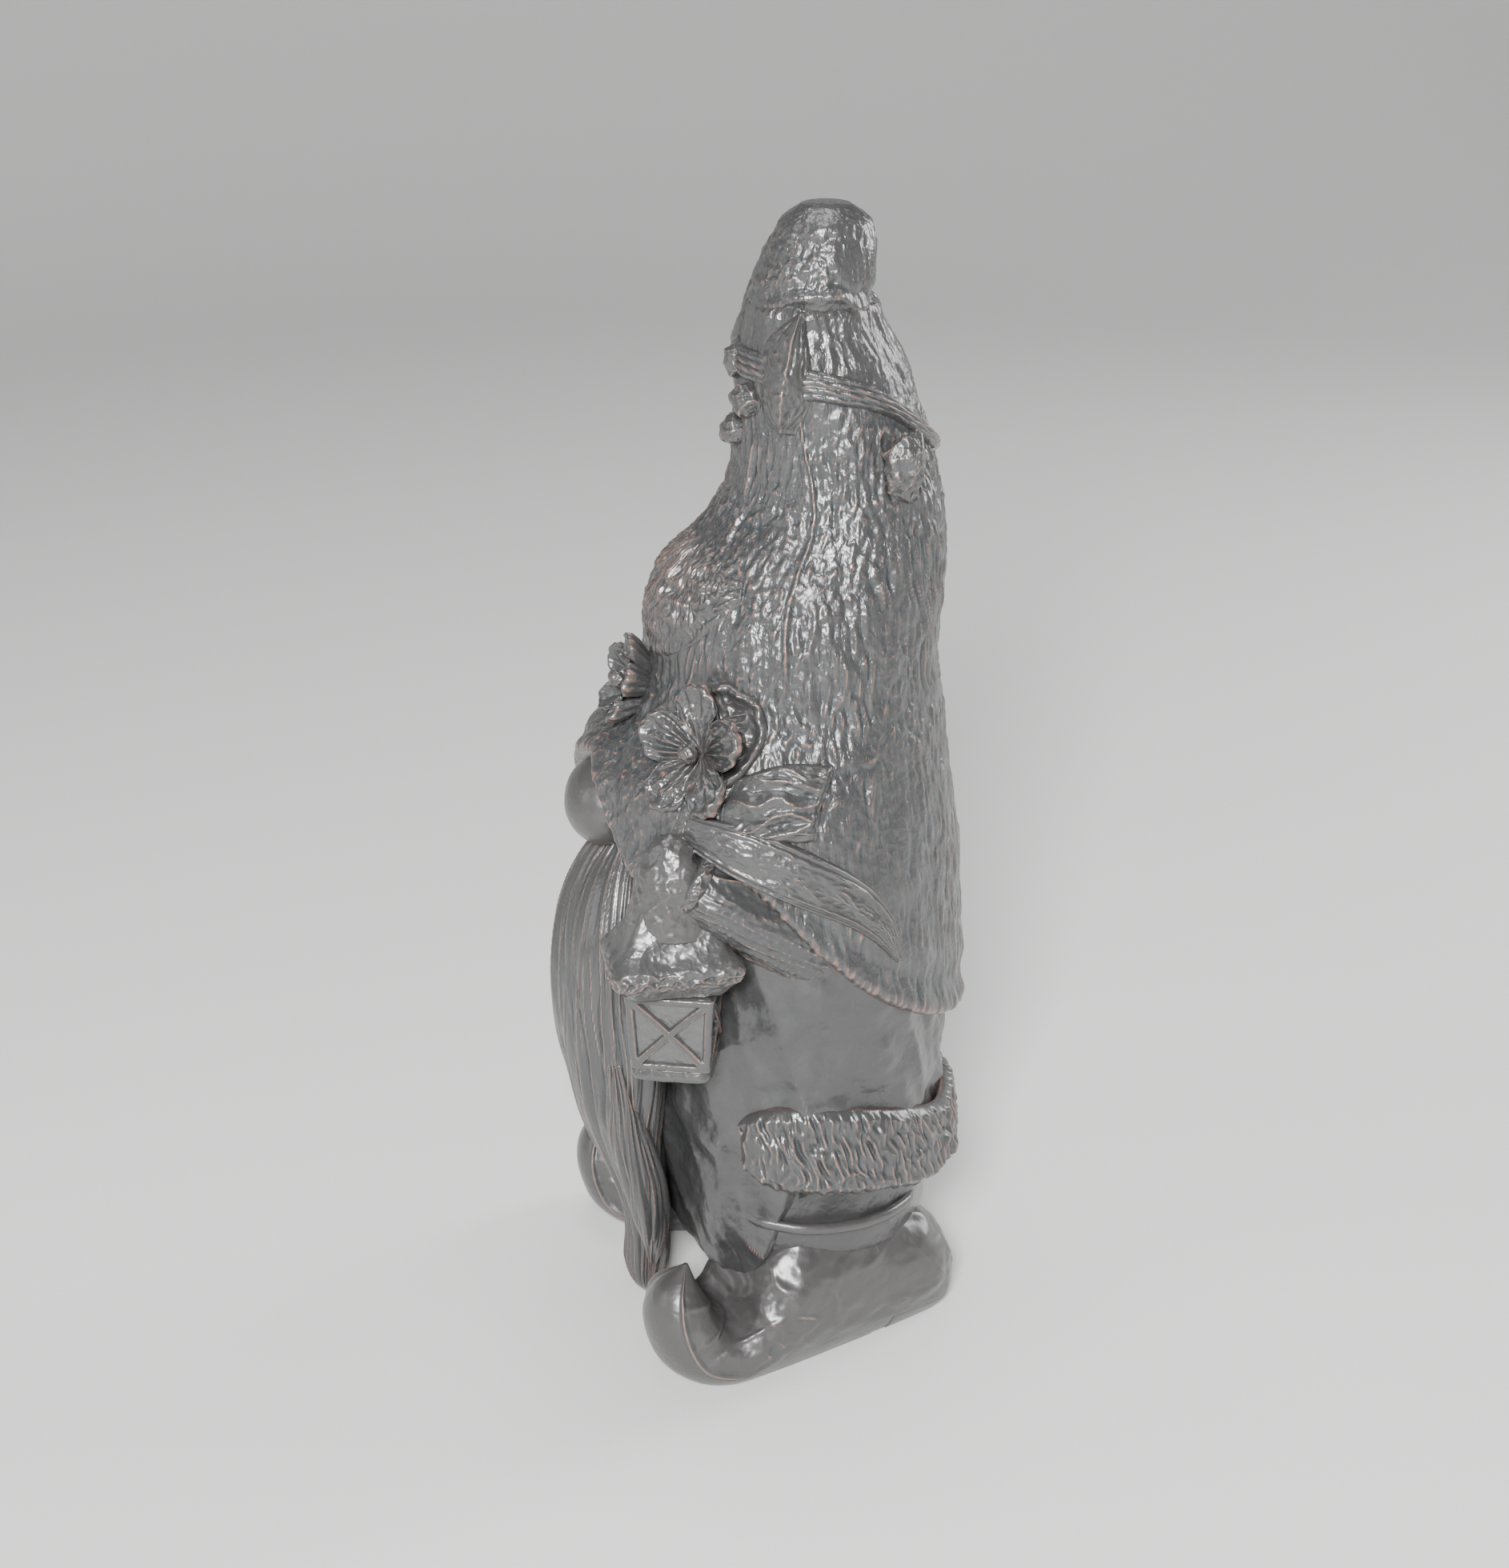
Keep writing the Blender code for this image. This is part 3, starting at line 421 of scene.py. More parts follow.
def cast_surface():
    """Node group of the cast resin: a mottled base, warm dust on crests, cool wash in creases, fine grain."""
    made = bpy.data.node_groups.get("Cast surface")
    if made:
        return made
    tree = bpy.data.node_groups.new("Cast surface", "ShaderNodeTree")
    for name, kind, value in (
        ("Base", "Color", (0.36, 0.36, 0.36, 1)),
        ("Crest highlight", "Color", (0.6, 0.4, 0.3, 1)),
        ("Crease shade", "Color", (0.1, 0.2, 0.25, 1)),
        ("Roughness", "Float", 0.35),
        ("Grain size", "Vector", (0.001, 0.001, 0.004)),
        ("Crumple", "Float", 0.5),
    ):
        tree.interface.new_socket(name, in_out="INPUT", socket_type="NodeSocket" + kind).default_value = value
    for name, kind in (("Colour", "Color"), ("Roughness", "Float"), ("Height", "Float")):
        tree.interface.new_socket(name, in_out="OUTPUT", socket_type="NodeSocket" + kind)
    given = tree.nodes.new("NodeGroupInput").outputs
    place = tree.nodes.new("ShaderNodeTexCoord").outputs["Object"]
    crest = tree.nodes.new("ShaderNodeAttribute")
    crest.attribute_name = "crests"
    sharp = crest.outputs["Fac"]

    patches = noise_texture(tree, place, 55, 4)
    specks = noise_texture(tree, place, 420, 3)
    stretched = tree.nodes.new("ShaderNodeVectorMath")
    stretched.operation = "DIVIDE"
    tree.links.new(place, stretched.inputs[0])
    tree.links.new(given["Grain size"], stretched.inputs[1])
    grain = noise_texture(tree, stretched.outputs[0], 1, 2.5)
    grain.noise_type = "RIDGED_MULTIFRACTAL"
    grain.inputs["Roughness"].default_value = 0.55
    grain.inputs["Distortion"].default_value = 0.5
    pushed = noise_texture(tree, place, 260)
    shift = tree.nodes.new("ShaderNodeVectorMath")
    shift.operation = "MULTIPLY_ADD"
    shift.inputs[1].default_value = (0.004, 0.004, 0.004)
    tree.links.new(pushed.outputs["Color"], shift.inputs[0])
    tree.links.new(place, shift.inputs[2])
    facets = tree.nodes.new("ShaderNodeTexVoronoi")
    facets.inputs["Scale"].default_value = 420
    tree.links.new(shift.outputs[0], facets.inputs["Vector"])
    foil = link_math(tree, "MULTIPLY", facets.outputs["Distance"], given["Crumple"])
    height = link_math(tree, "ADD", link_math(tree, "MULTIPLY", grain.outputs["Fac"], 0.5), foil)

    darker = link_mix(tree, 0.18, given["Base"], (0.03, 0.033, 0.036, 1))
    mottled = link_mix(tree, patches.outputs["Fac"], darker, given["Base"])
    # Painted highlight: a lighter warm tint, speckled, laid along sharp crests where light catches the ridges.
    on_crest = link_math(tree, "MULTIPLY", link_math(tree, "SUBTRACT", sharp, 0.3), 2.2, clamp=True)
    speckle = link_math(tree, "MULTIPLY", specks.outputs["Fac"], 1.5)
    crest_highlight = link_math(tree, "MULTIPLY", on_crest, speckle, clamp=True)
    crest_highlight = link_math(tree, "MULTIPLY", crest_highlight, 0.75)
    with_crest_highlight = link_mix(tree, crest_highlight, mottled, given["Crest highlight"])
    # Painted shade: a dark cool tint laid in creases where shade falls; the roughness is raised there too.
    painted_shade_mask = link_math(tree, "MULTIPLY", link_math(tree, "SUBTRACT", -0.06, sharp), 1.6, clamp=True)
    painted_shade_mask = link_math(tree, "MULTIPLY", painted_shade_mask, 0.8)
    with_painted_shade = link_mix(tree, painted_shade_mask, with_crest_highlight, given["Crease shade"])

    duller = link_math(tree, "MULTIPLY", painted_shade_mask, 0.2)
    wave = link_math(tree, "MULTIPLY", link_math(tree, "SUBTRACT", patches.outputs["Fac"], 0.5), 0.3)
    roughness = link_math(tree, "ADD", link_math(tree, "ADD", given["Roughness"], wave), duller, clamp=True)

    out = tree.nodes.new("NodeGroupOutput").inputs
    tree.links.new(with_painted_shade, out["Colour"])
    tree.links.new(roughness, out["Roughness"])
    tree.links.new(height, out["Height"])
    return tree


def resin(slot):
    """Material of one slot: satin resin in the slot's grey, with its own grain size and height."""
    name = "Resin " + slot
    made = bpy.data.materials.get(name)
    if made:
        return made
    colours = bpy.context.scene.gnome_colours
    made = bpy.data.materials.new(name)
    made.use_nodes = True
    tree = made.node_tree
    shader = tree.nodes["Principled BSDF"]
    surface = tree.nodes.new("ShaderNodeGroup")
    surface.node_tree = cast_surface()
    size, crumple, height, roughness = FINISH[slot]
    surface.inputs["Base"].default_value = (*getattr(colours, slot), 1)
    # The crest colour is a painted highlight and the crease colour is painted shade.
    surface.inputs["Crest highlight"].default_value = (*colours.crest, 1)
    surface.inputs["Crease shade"].default_value = (*colours.crease_shade, 1)
    surface.inputs["Roughness"].default_value = roughness
    surface.inputs["Grain size"].default_value = size
    surface.inputs["Crumple"].default_value = crumple
    grain = tree.nodes.new("ShaderNodeBump")
    grain.inputs["Strength"].default_value = 1.0
    grain.inputs["Distance"].default_value = height
    tree.links.new(surface.outputs["Colour"], shader.inputs["Base Color"])
    tree.links.new(surface.outputs["Roughness"], shader.inputs["Roughness"])
    tree.links.new(surface.outputs["Height"], grain.inputs["Height"])
    tree.links.new(grain.outputs["Normal"], shader.inputs["Normal"])
    shader.inputs["Specular IOR Level"].default_value = SPECULAR
    shader.inputs["Coat Weight"].default_value = COAT_WEIGHT
    shader.inputs["Coat Roughness"].default_value = COAT_ROUGHNESS
    return made


# ---------------------------------------------------------------- hat


def hat_point(angle, z, out=0.0):
    """A point of the hat: an ellipse whose centre, depth and width follow the height, moved out along the
    normal that comes from a small step round and a small step up."""

    def place(a, h):
        centre, depth, width = (smooth(HAT_Z, k, h) for k in (HAT_CENTRE, HAT_DEPTH, HAT_WIDTH))
        a = np.radians(a)
        return stack(width * np.sin(a), centre - depth * np.cos(a), h)

    angle, z = np.broadcast_arrays(np.asarray(angle, float), np.asarray(z, float))
    here = place(angle, z)
    across = place(angle + 0.5, z) - place(angle - 0.5, z)
    normal = np.cross(across, place(angle, z + 0.5) - place(angle, z - 0.5))
    normal /= np.linalg.norm(normal, axis=-1, keepdims=True)
    return here + normal * np.asarray(out, float)[..., None]


def rim_height(angle):
    """The rim lies in a plane that falls to the back, parted like a curtain over the nose and raised over the
    left arm."""
    turned = (np.asarray(angle, float) + 180) % 360 - 180
    y = 3.5 - 52.5 * np.cos(np.radians(angle))
    curtain = smooth(*RIM_CURTAIN, np.abs(turned)) + smooth(*RIM_OVER_ARM, turned.clip(0))
    return RIM_AT_AXIS - RIM_FALL * y + curtain


def side_angle(angle):
    """Angle away from the front, from 0 to 180."""
    return np.abs((angle + 180) % 360 - 180)


def hat_relief(place, angle, above_rim):
    """Relief of the hat, in millimetres: broad lumps, long upright folds, bark-like strokes that lean back
    above the cord, crumpled cloth half way up, rough cloth over the face, and a lip along the rim."""
    form = bpy.context.scene.gnome_form
    x, y, z = np.moveaxis(place, -1, 0)
    lean = step(262, 276, z)
    leaned = stack(x, y * (1 - 0.4 * lean), z + 1.3 * lean * y)
    push = wander(place, 1.6, 12, 5) * (1, 1, 2)
    aside = side_angle(angle)
    over_face = step(62, 38, aside) * step(42, 26, above_rim)
    lumps = 0.9 * noise(place / 27, 1) + 0.5 * noise(place / 13, 2)
    folds = 0.45 * crests((leaned + push) / (11, 11, 55), 3) * (1 - over_face)
    strokes = (1 - 0.45 * lean) * 1.25 * noise((leaned + push) / (1.5, 1.5, 8), 11)
    bark = strokes + 0.5 * crests((leaned + push) / (2.8, 2.8, 13), 12)
    patch = step(-0.35, 0.45, noise(place / (18, 18, 34), 15))
    crumple = rough((place + push) / 2.6, 21) * step(150, 190, z) * step(275, 255, z) * patch
    cloth = 0.35 * rough(place / 4, 31) + 0.35 * crests(place / (2.6, 2.6, 5), 33)
    grain = form.hat_grain / MM * (bark * (0.6 + 0.4 * (1 - patch)) + 0.7 * crumple)
    lines = sum(along_line(aside, z, *line, 0.7) for line in HAT_LINES)
    lip = 1.1 * step(8, 1.5, above_rim) - 0.8 * bump(above_rim, 11, 3.5)
    keep_in = 1.4 * step(120, 165, aside) * step(150, 110, z)
    return lumps + folds + grain * (1 - 0.75 * over_face) + cloth * over_face + 0.8 * lines + lip - keep_in


def build_hat():
    """Rows run from the inside of the top down to the rim, round it, and up the outside to the top."""
    angle = turns(520)
    rim = rim_height(angle)
    share = shares(184)[:, None]
    z = rim + (HAT_TOP - rim) * share
    roll = 4.0
    short_of = np.clip(roll - (z - rim), 0, roll)
    set_in = roll - np.sqrt(roll**2 - short_of**2)
    outside = hat_point(angle, z, -set_in - 2.0 * step(292.5, 296.8, z))
    outside = relief(outside, hat_relief(outside, angle, z - rim) * step(-0.5, 2.5, z - rim))
    inner_z = rim + np.array([60, 30, 12, 4, 1.2])[:, None] * (1 + 0 * angle)
    inside = hat_point(angle, np.minimum(inner_z, HAT_TOP - 10), -HAT_WALL)
    add_piece("hat_shell", "hat", np.concatenate([inside, outside]))

    level = shares(90)
    z = smooth([0, 0.06, 0.2, 1], [TIP_Z[0], 293, 297, TIP_Z[-1]], level)
    centre, radius = smooth(TIP_Z, TIP_CENTRE, z), smooth(TIP_Z, TIP_RADIUS, z)
    turn = np.radians(turns(220))
    tip = stack(
        radius[:, None] * np.sin(turn),
        centre[:, None] - radius[:, None] * np.cos(turn),
        z[:, None] + 0 * turn
    )
    tip = relief(tip, tip_relief(tip))
    add_piece("hat_tip", "hat", tip)


def tip_relief(place):
    """Lumps, upright strokes and a pinched, crumpled front, with a fold pressed in above the lower edge."""
    x, y, z = np.moveaxis(place, -1, 0)
    bent = place + wander(place, 1.3, 8, 41)
    strokes = crests(bent / (2.2, 2.2, 9), 44)
    pinch = rough(bent / 2.6, 45) * step(24, 14, y) * step(296, 301, z) * step(318, 312, z)
    aside = np.degrees(np.arctan2(np.abs(x), 15.5 - y))
    over_fold = z - smooth(*TIP_FOLD, aside)
    over_fold = over_fold + 1.2 * noise(place / 6, 48)
    fold = 1.1 * bump(over_fold, 0, 1.5) - 0.9 * bump(over_fold, 3.4, 1.9) + 0.6 * bump(over_fold, -3.0, 1.2)
    fold = fold * (0.75 + 1.1 * noise(place / 5, 47))
    fade = step(318.3, 314, z)
    return (0.8 * noise(place / 13, 46) + 0.22 * strokes + 0.42 * pinch) * fade + fold


def build_band():
    """A flat band of four parallel cords round the hat, and the curled knot that ends it."""
    angle = turns(420)
    aside = side_angle(angle)
    z, half = smooth(*BAND, aside), smooth(*BAND_HALF, aside)[:, None]
    section = np.linspace(0, 2 * np.pi, 64, endpoint=False)
    across = np.sin(section)
    strand = np.abs(np.sin(2 * np.pi * (across + 1))) ** 0.55
    twist = 0.16 * np.sin(np.radians(angle[:, None] * 30) + 5 * across)
    thick = 1.1 + 0.5 * (1 - across**2) + (0.8 + twist) * strand
    out = np.where(np.cos(section) > 0, thick, -2.4) * np.abs(np.cos(section)) ** 0.35
    rings = hat_point(angle[:, None], z[:, None] + across * half, out + 0.3)
    add_piece("hat_cord", "hat", rings, looped=True)

    knot = faceted((4.9, 5.2, 8.6), 22, 5)
    knot = relief(knot, 0.7 * rough(knot / 3.4, 51) + 0.9 * crests(knot / (5, 5, 9), 52) - 0.8)
    add_piece("hat_knot", "hat", knot + (26.4, 32.4, 255.0))


# ---------------------------------------------------------------- pieces along the hat


def leaf_rings(angles, heights, widths, surface, steps=150, top_sides=60, free_tip=False, wide=(1, 1)):
    """A leaf along the hat. Rows run along a centre line given as angles and heights, and columns cross its
    top from edge to edge and return underneath. surface(t, across) gives the height of the top, which falls
    to the hat at both ends unless the tip is free. wide scales the two sides."""
    t = shares(steps)
    knots = shares(len(angles))
    angle, z, half = smooth(knots, angles, t), smooth(knots, heights, t), smooth(knots, widths, t)
    per_degree = np.linalg.norm(hat_point(angle + 1, z) - hat_point(angle, z), axis=-1)
    run = stack(np.gradient(angle) * per_degree, np.gradient(z))
    run /= np.linalg.norm(run, axis=-1, keepdims=True)
    over = np.sin(np.linspace(-np.pi / 2, np.pi / 2, top_sides))
    under = np.linspace(1, -1, 14)[1:-1]
    across = np.concatenate([over, under])
    is_top = np.concatenate([np.ones(top_sides), np.zeros(12)])
    edge = np.maximum(1 - across**2, 0) ** 0.35
    ends = np.sin(np.pi * np.clip(t * (0.5 if free_tip else 1), 0.02, 0.98)) ** 0.35
    half = half[:, None] * np.where(across < 0, *wide)
    under_hat = 2.4 - 4.2 * t[:, None] * free_tip
    top = surface(t[:, None], across) * edge * ends[:, None]
    out = np.where(is_top > 0, top, -under_hat * np.minimum(1, (1 - across**2) * 6))
    a = angle[:, None] + run[:, 1:] * across * half / per_degree[:, None]
    h = z[:, None] - run[:, :1] * across * half
    return hat_point(a, h, out)


def holly(t, across):
    """Two flat facets that meet in a sharp ridge and stand up towards the point."""
    ridge = (8.0 - 3.0 * t) * (1 - np.abs(across)) ** 1.4
    place = stack(t * 5, across * 2.4, 0 * t)
    return 1.0 + 1.2 * t + ridge + 0.8 * rough(place, 61) + 0.5 * crests(place * 1.7, 60)


def ribbed(t, across):
    """A ribbon with a doubled, raised rim and crumpled folds that run along it."""
    place = stack(t * 5, across * 1.5, 0 * t)
    rim = 1.3 * bump(np.abs(across), 0.9, 0.09) + 0.6 * bump(np.abs(across), 0.66, 0.08)
    folds = 0.5 * crests(place, 62) + 0.3 * crests(place * (4, 3, 1), 63)
    return 2.6 + rim + folds * (1 - 0.7 * np.abs(across))


def folded(t, across):
    """A broad leaf whose folds fan out from its stalk, with a raised far edge and one raised side."""
    fan = across * (0.5 + t)
    place = stack(t * 2.2, fan * 2, 0 * t)
    edges = 1.2 * bump(t, 0.93, 0.05) + 1.0 * bump(across, -0.85, 0.12) + 0.6 * bump(across, 0.88, 0.1)
    return 2.2 + 1.9 * t + 1.4 * crests(place, 64) + 0.35 * crests(place * 3, 65) + edges


def tufted(t, across):
    """A ragged tuft of fine upright strokes, highest in the middle."""
    place = stack(t * 46, across * 3, 0 * t)
    ragged = 0.9 * noise(place * (0.45, 1.6, 1), 67) + 1.6 * noise(place * (0.12, 1.2, 1), 68)
    return 2.6 * (1 - np.abs(across) ** 2.2) + 0.6 * crests(place, 66) + ragged


def facing(angle, tilt):
    """Side, up and outward directions of something that faces an angle and leans back by tilt degrees."""
    a, t = np.radians(angle), np.radians(tilt)
    out = np.array([np.sin(a) * np.cos(t), -np.cos(a) * np.cos(t), np.sin(t)])
    side = np.array([np.cos(a), np.sin(a), 0])
    return side, np.cross(out, side), out


def flower_rings(centre, angle, tilt, radius, depth, start, ribs):
    """Five petals: the radius swells and narrows five times round, the top cups towards the middle, each petal
    is crowned and ribbed, and its rim rolls over."""
    side, up, out = facing(angle, tilt)
    turn = np.radians(turns(360))
    share = np.concatenate([np.linspace(0.06, 1, 12), np.linspace(1, 0.02, 64)[1:]])[:, None]
    is_top = np.concatenate([np.zeros(12), np.ones(63)])[:, None]
    petal = np.abs(np.cos(2.5 * (turn - np.radians(start))))
    ruffle = 0.03 * np.sin(turn * 23) * np.sin(turn * 7)
    reach = radius * (0.52 + 0.46 * petal**0.55 + ruffle)
    vein = np.sin((turn - np.radians(start)) * ribs) * np.clip(petal * 1.6, 0, 1)
    crown = petal**0.8
    cup = depth * (share**1.6 - 0.75)
    arch = np.sin(np.pi * np.clip(share, 0, 1))
    top = cup + 1.9 * crown * arch**0.8 + 0.8 * vein * arch**0.6
    top = top - 2.4 * (1 - crown) * share + 0.9 * bump(share, 0.93, 0.06)
    bottom = cup - 2.2 * (1 - share**6) - 1.2
    height = np.where(is_top > 0, top, bottom)
    flat = share * reach
    rings = flat[..., None] * (np.cos(turn)[:, None] * side + np.sin(turn)[:, None] * up)
    rings = rings + height[..., None] * out
    rings = rings + 0.03 * radius * rough(rings / 3.4, 71)[..., None] * out
    return rings + np.asarray(centre, float)


def stamens(centre, angle, tilt, size):
    """A button of small grains: a ball with bumps in even rows."""
    out = facing(angle, tilt)[2]
    button = ball((0, 0, 0), (size, size, size), 50, 70)
    button = relief(button, 0.5 * crests(button / 1.6, 72))
    return button + np.asarray(centre) + 1.0 * out


def build_trims():
    """Two pointed leaves and a spray of berries at the cord, and the tuft at the front of the hat."""
    for way, word in ((1, "left"), (-1, "right")):
        wide = (2.0, 0.8) if way > 0 else (0.8, 2.0)
        leaf = leaf_rings(way * np.array(HOLLY[0]), *HOLLY[1:], holly, 140, 90, True, wide)
        add_piece(f"holly_leaf_{word}", "flower", leaf)
    for number, (word, turn, height, size) in enumerate(
        (("upper", -4, 279, 4.3), ("middle", 14, 270.5, 4.6), ("lower", -2, 261, 4.4))
    ):
        berry = faceted((size * 0.92,) * 3, 44, 81 + number, 60, 90)
        berry = relief(berry, 0.5 * rough(berry / 3, 81 + number))
        add_piece(f"berry_{word}", "flower", berry + hat_point(turn, height, size * 0.1))
    add_piece("hat_front_leaf", "flower", leaf_rings(*TUFT, tufted, 300, 90))


def build_flowers():
    """The large flower on the left of the hat and the small one over the nose."""
    for word, place, angle, tilt, petals, button in (
        ("left", (36.6, -27.6, 187.5), 28, 20, (18.6, 6.5, 100, 20), 2.3),
        ("front", (-3.0, -36.0, 194.0), -4, 18, (13, 9, 90, 12), 2.6),
    ):
        flower = flower_rings(place, angle, tilt, *petals)
        add_piece(f"flower_{word}_petals", "flower", flower, name=f"flower_{word}_cast")
        grains = stamens(place, angle, tilt, button)
        add_piece(f"flower_{word}_centre", "flower", grains, name=f"flower_{word}_button")


def build_leaves():
    """The round leaf behind the large flower, the short leaf and the long ribbed leaf."""
    turn = np.radians(turns(220))
    share = np.concatenate([np.linspace(0.05, 1, 10), np.linspace(1, 0.04, 60)[1:]])[:, None]
    is_top = np.concatenate([np.zeros(10), np.ones(59)])[:, None]
    edge = 1 + 0.03 * np.sin(turn * 3) + 0.02 * np.sin(turn * 8 + 1)
    rims = (1.1 + 0.8 * np.sin(turn * 5 + 2) ** 2) * bump(share, 0.9, 0.1)
    rims = rims + 0.5 * crests(stack(share * 4, turn * 3, 0 * turn), 75)
    dish = 1.1 + rims
    shown = step(-0.45, 0.1, np.cos(turn - 0.35))
    top = dish * np.clip((1 - share) * 30, 0, 1) ** 0.5 * shown - 1.6 * (1 - shown)
    out = np.where(is_top > 0, top, -2.4 * np.clip((1 - share) * 12, 0, 1))
    per_degree = np.linalg.norm(hat_point(46, 188) - hat_point(45, 188))
    a = 48 + share * 13.2 * edge * np.cos(turn) / per_degree
    h = 190 + share * 14.0 * edge * np.sin(turn)
    add_piece("leaf_round", "flower", hat_point(a, h, out))
    add_piece("leaf_long", "flower", leaf_rings(*LONG_LEAF, ribbed, 240, 80))
    add_piece("leaf_short", "flower", leaf_rings(*SHORT_LEAF, folded, 150, 90))


# ---------------------------------------------------------------- face and beard


def build_nose():
    nose = ball((0, -42.0, 160.5), (12.8, 11.8, 12.6), 110, 160)
    add_piece("nose", "skin", relief(nose, 0.5 * noise(nose / 12, 91) - 0.3))


def build_beard():
    """Rings of the beard, from the ground up, raised into long strands that wander as they fall."""
    form = bpy.context.scene.gnome_form
    level = np.linspace(0, BEARD_Z[-1], 260)
    front, half, back = (smooth(BEARD_Z, k, level)[:, None] for k in (BEARD_FRONT, BEARD_HALF, BEARD_BACK))
    turn = np.radians(turns(340))
    centre, deep = (front + back) / 2, (back - front) / 2
    z = level[:, None] + 0 * turn
    rings = stack(half * np.sin(turn), centre - deep * np.cos(turn), z)
    around = np.degrees(turn) / 360
    sway = 0.035 * np.sin(z / 21) + 0.02 * noise(rings / 30, 101)
    comb = stack(np.cos(2 * np.pi * (around + sway)), np.sin(2 * np.pi * (around + sway)), z / 60)
    broad = np.abs(noise(comb * (3.4, 3.4, 0.8), 102)) ** 0.7
    fine = step(0.45, 1, crests(comb * (6, 6, 1.6), 103)) + 0.35 * crests(comb * (15, 15, 3), 104)
    gather = step(0, 12, z)
    amount = form.beard_groove / MM * (2.4 * broad + 0.42 * fine) * gather - 1.75
    add_piece("beard", "beard", relief(rings, amount))
    for way, word in ((1, "left"), (-1, "right")):
        path = through(np.array(LOCK) * (way, 1, 1), 150)
        share = shares(150)
        lock = swept(path, smooth([0, 0.3, 0.7, 1], [1.6, 5.2, 5.2, 1.2], share), 110, up=(0, 1, 0))
        twist = np.radians(turns(110)) + 2.2 * share[:, None]
        comb = stack(np.cos(twist), np.sin(twist), 2.5 * share[:, None] + 0 * twist)
        broad = 1.5 * np.abs(noise(comb * (2, 2, 1), 105)) ** 0.7
        fine = 0.15 * crests(comb * (6, 6, 1.5), 106)
        add_piece(f"beard_lock_{word}", "beard", relief(lock, broad + fine - 0.8))


# ---------------------------------------------------------------- coat


def coat_point(angle, z, out=0.0):
    """A point of the coat: an egg-shaped section whose front and back depths and width follow the height."""
    a = np.radians(angle)
    measures = (COAT_CENTRE, COAT_FRONT, COAT_BACK, COAT_WIDTH)
    centre, front, back, width = (smooth(COAT_Z, k, z) for k in measures)
    share = 0.5 + 0.5 * np.cos(a)
    depth = back + (front - back) * step(0.3, 0.7, share)
    parts = ((width + out) * np.sin(a), centre - (depth + out) * np.cos(a), z + 0 * a)
    return stack(*parts)


def tilted_height(angle, at_axis, fall):
    """Height of a plane that falls to the back, on the coat."""
    y = 7 - np.where(np.cos(np.radians(angle)) > 0, 37, 48) * np.cos(np.radians(angle))
    return at_axis - fall * y


def coat_relief(place, angle):
    """Slow swellings, a few pressed creases that fall to the front, a flat worn pocket on each side and light
    tool marks."""
    form = bpy.context.scene.gnome_form
    x, y, z = np.moveaxis(place, -1, 0)
    swell = 1.7 * noise(place / 22, 111) + 0.9 * noise(place / 10, 112) + 0.3 * noise(place / 4.5, 110)
    drape = stack(x, y + 0.5 * z, 0.35 * z)
    drape = drape + wander(place, 3, 17, 113)
    sparse = step(0.0, 0.5, noise(place / 22, 116))
    soft = 2.2 * crests(drape / (16, 16, 34), 117)
    thin = 0.7 * step(0.3, 1, crests(drape / (8, 8, 22), 118)) * sparse
    aside = side_angle(angle)
    pocket = bump(aside, 80, 14) * bump(z, 95, 9)
    marks = 0.08 * crests(place / 3.2, 119)
    waist = -1.2 * bump(z, smooth(*FUR_TOP, aside) + 4, 4.0) * step(45, 60, aside)
    return swell + form.coat_crease / MM * (soft + thin) + 1.2 * pocket + marks + waist


def build_coat_body():
    """Rings from the lower edge up under the hat, swollen over the elbows. In front they run down past the hem
    between the boots, and the lower edge tucks in."""
    angle = turns(390)
    hem = tilted_height(angle, HEM_AT_AXIS, HEM_FALL)
    low = hem - 49 * step(84, 50, side_angle(angle))
    share = shares(190)[:, None]
    z = low + (COAT_Z[-1] - 3 - low) * share
    below = np.clip((hem - z) / 49, 0, 1)
    tuck = 5.0 * step(14, 0, z - low) * step(1, 8, hem - low)
    rings = coat_point(angle, np.maximum(z, 50), -4.5 * below**2.5 - tuck)
    rings[..., 2] = z
    for line in (LEFT_ARM, RIGHT_ARM):
        away = np.min([np.linalg.norm(rings - point, axis=-1) for point in through(line, 30)], axis=0)
        rings = relief(rings, 6.5 * bump(away, 0, 17) * step(0.2, 0.4, share))
    rings = relief(rings, (coat_relief(rings, angle) - 0.5) * step(-0.05, 0.12, share))
    inside = [coat_point(angle, hem + 50, -6), coat_point(angle, hem, -9), coat_point(angle, low + 0.3, -17)]
    add_piece("coat_body", "coat", np.concatenate([inside, rings]))


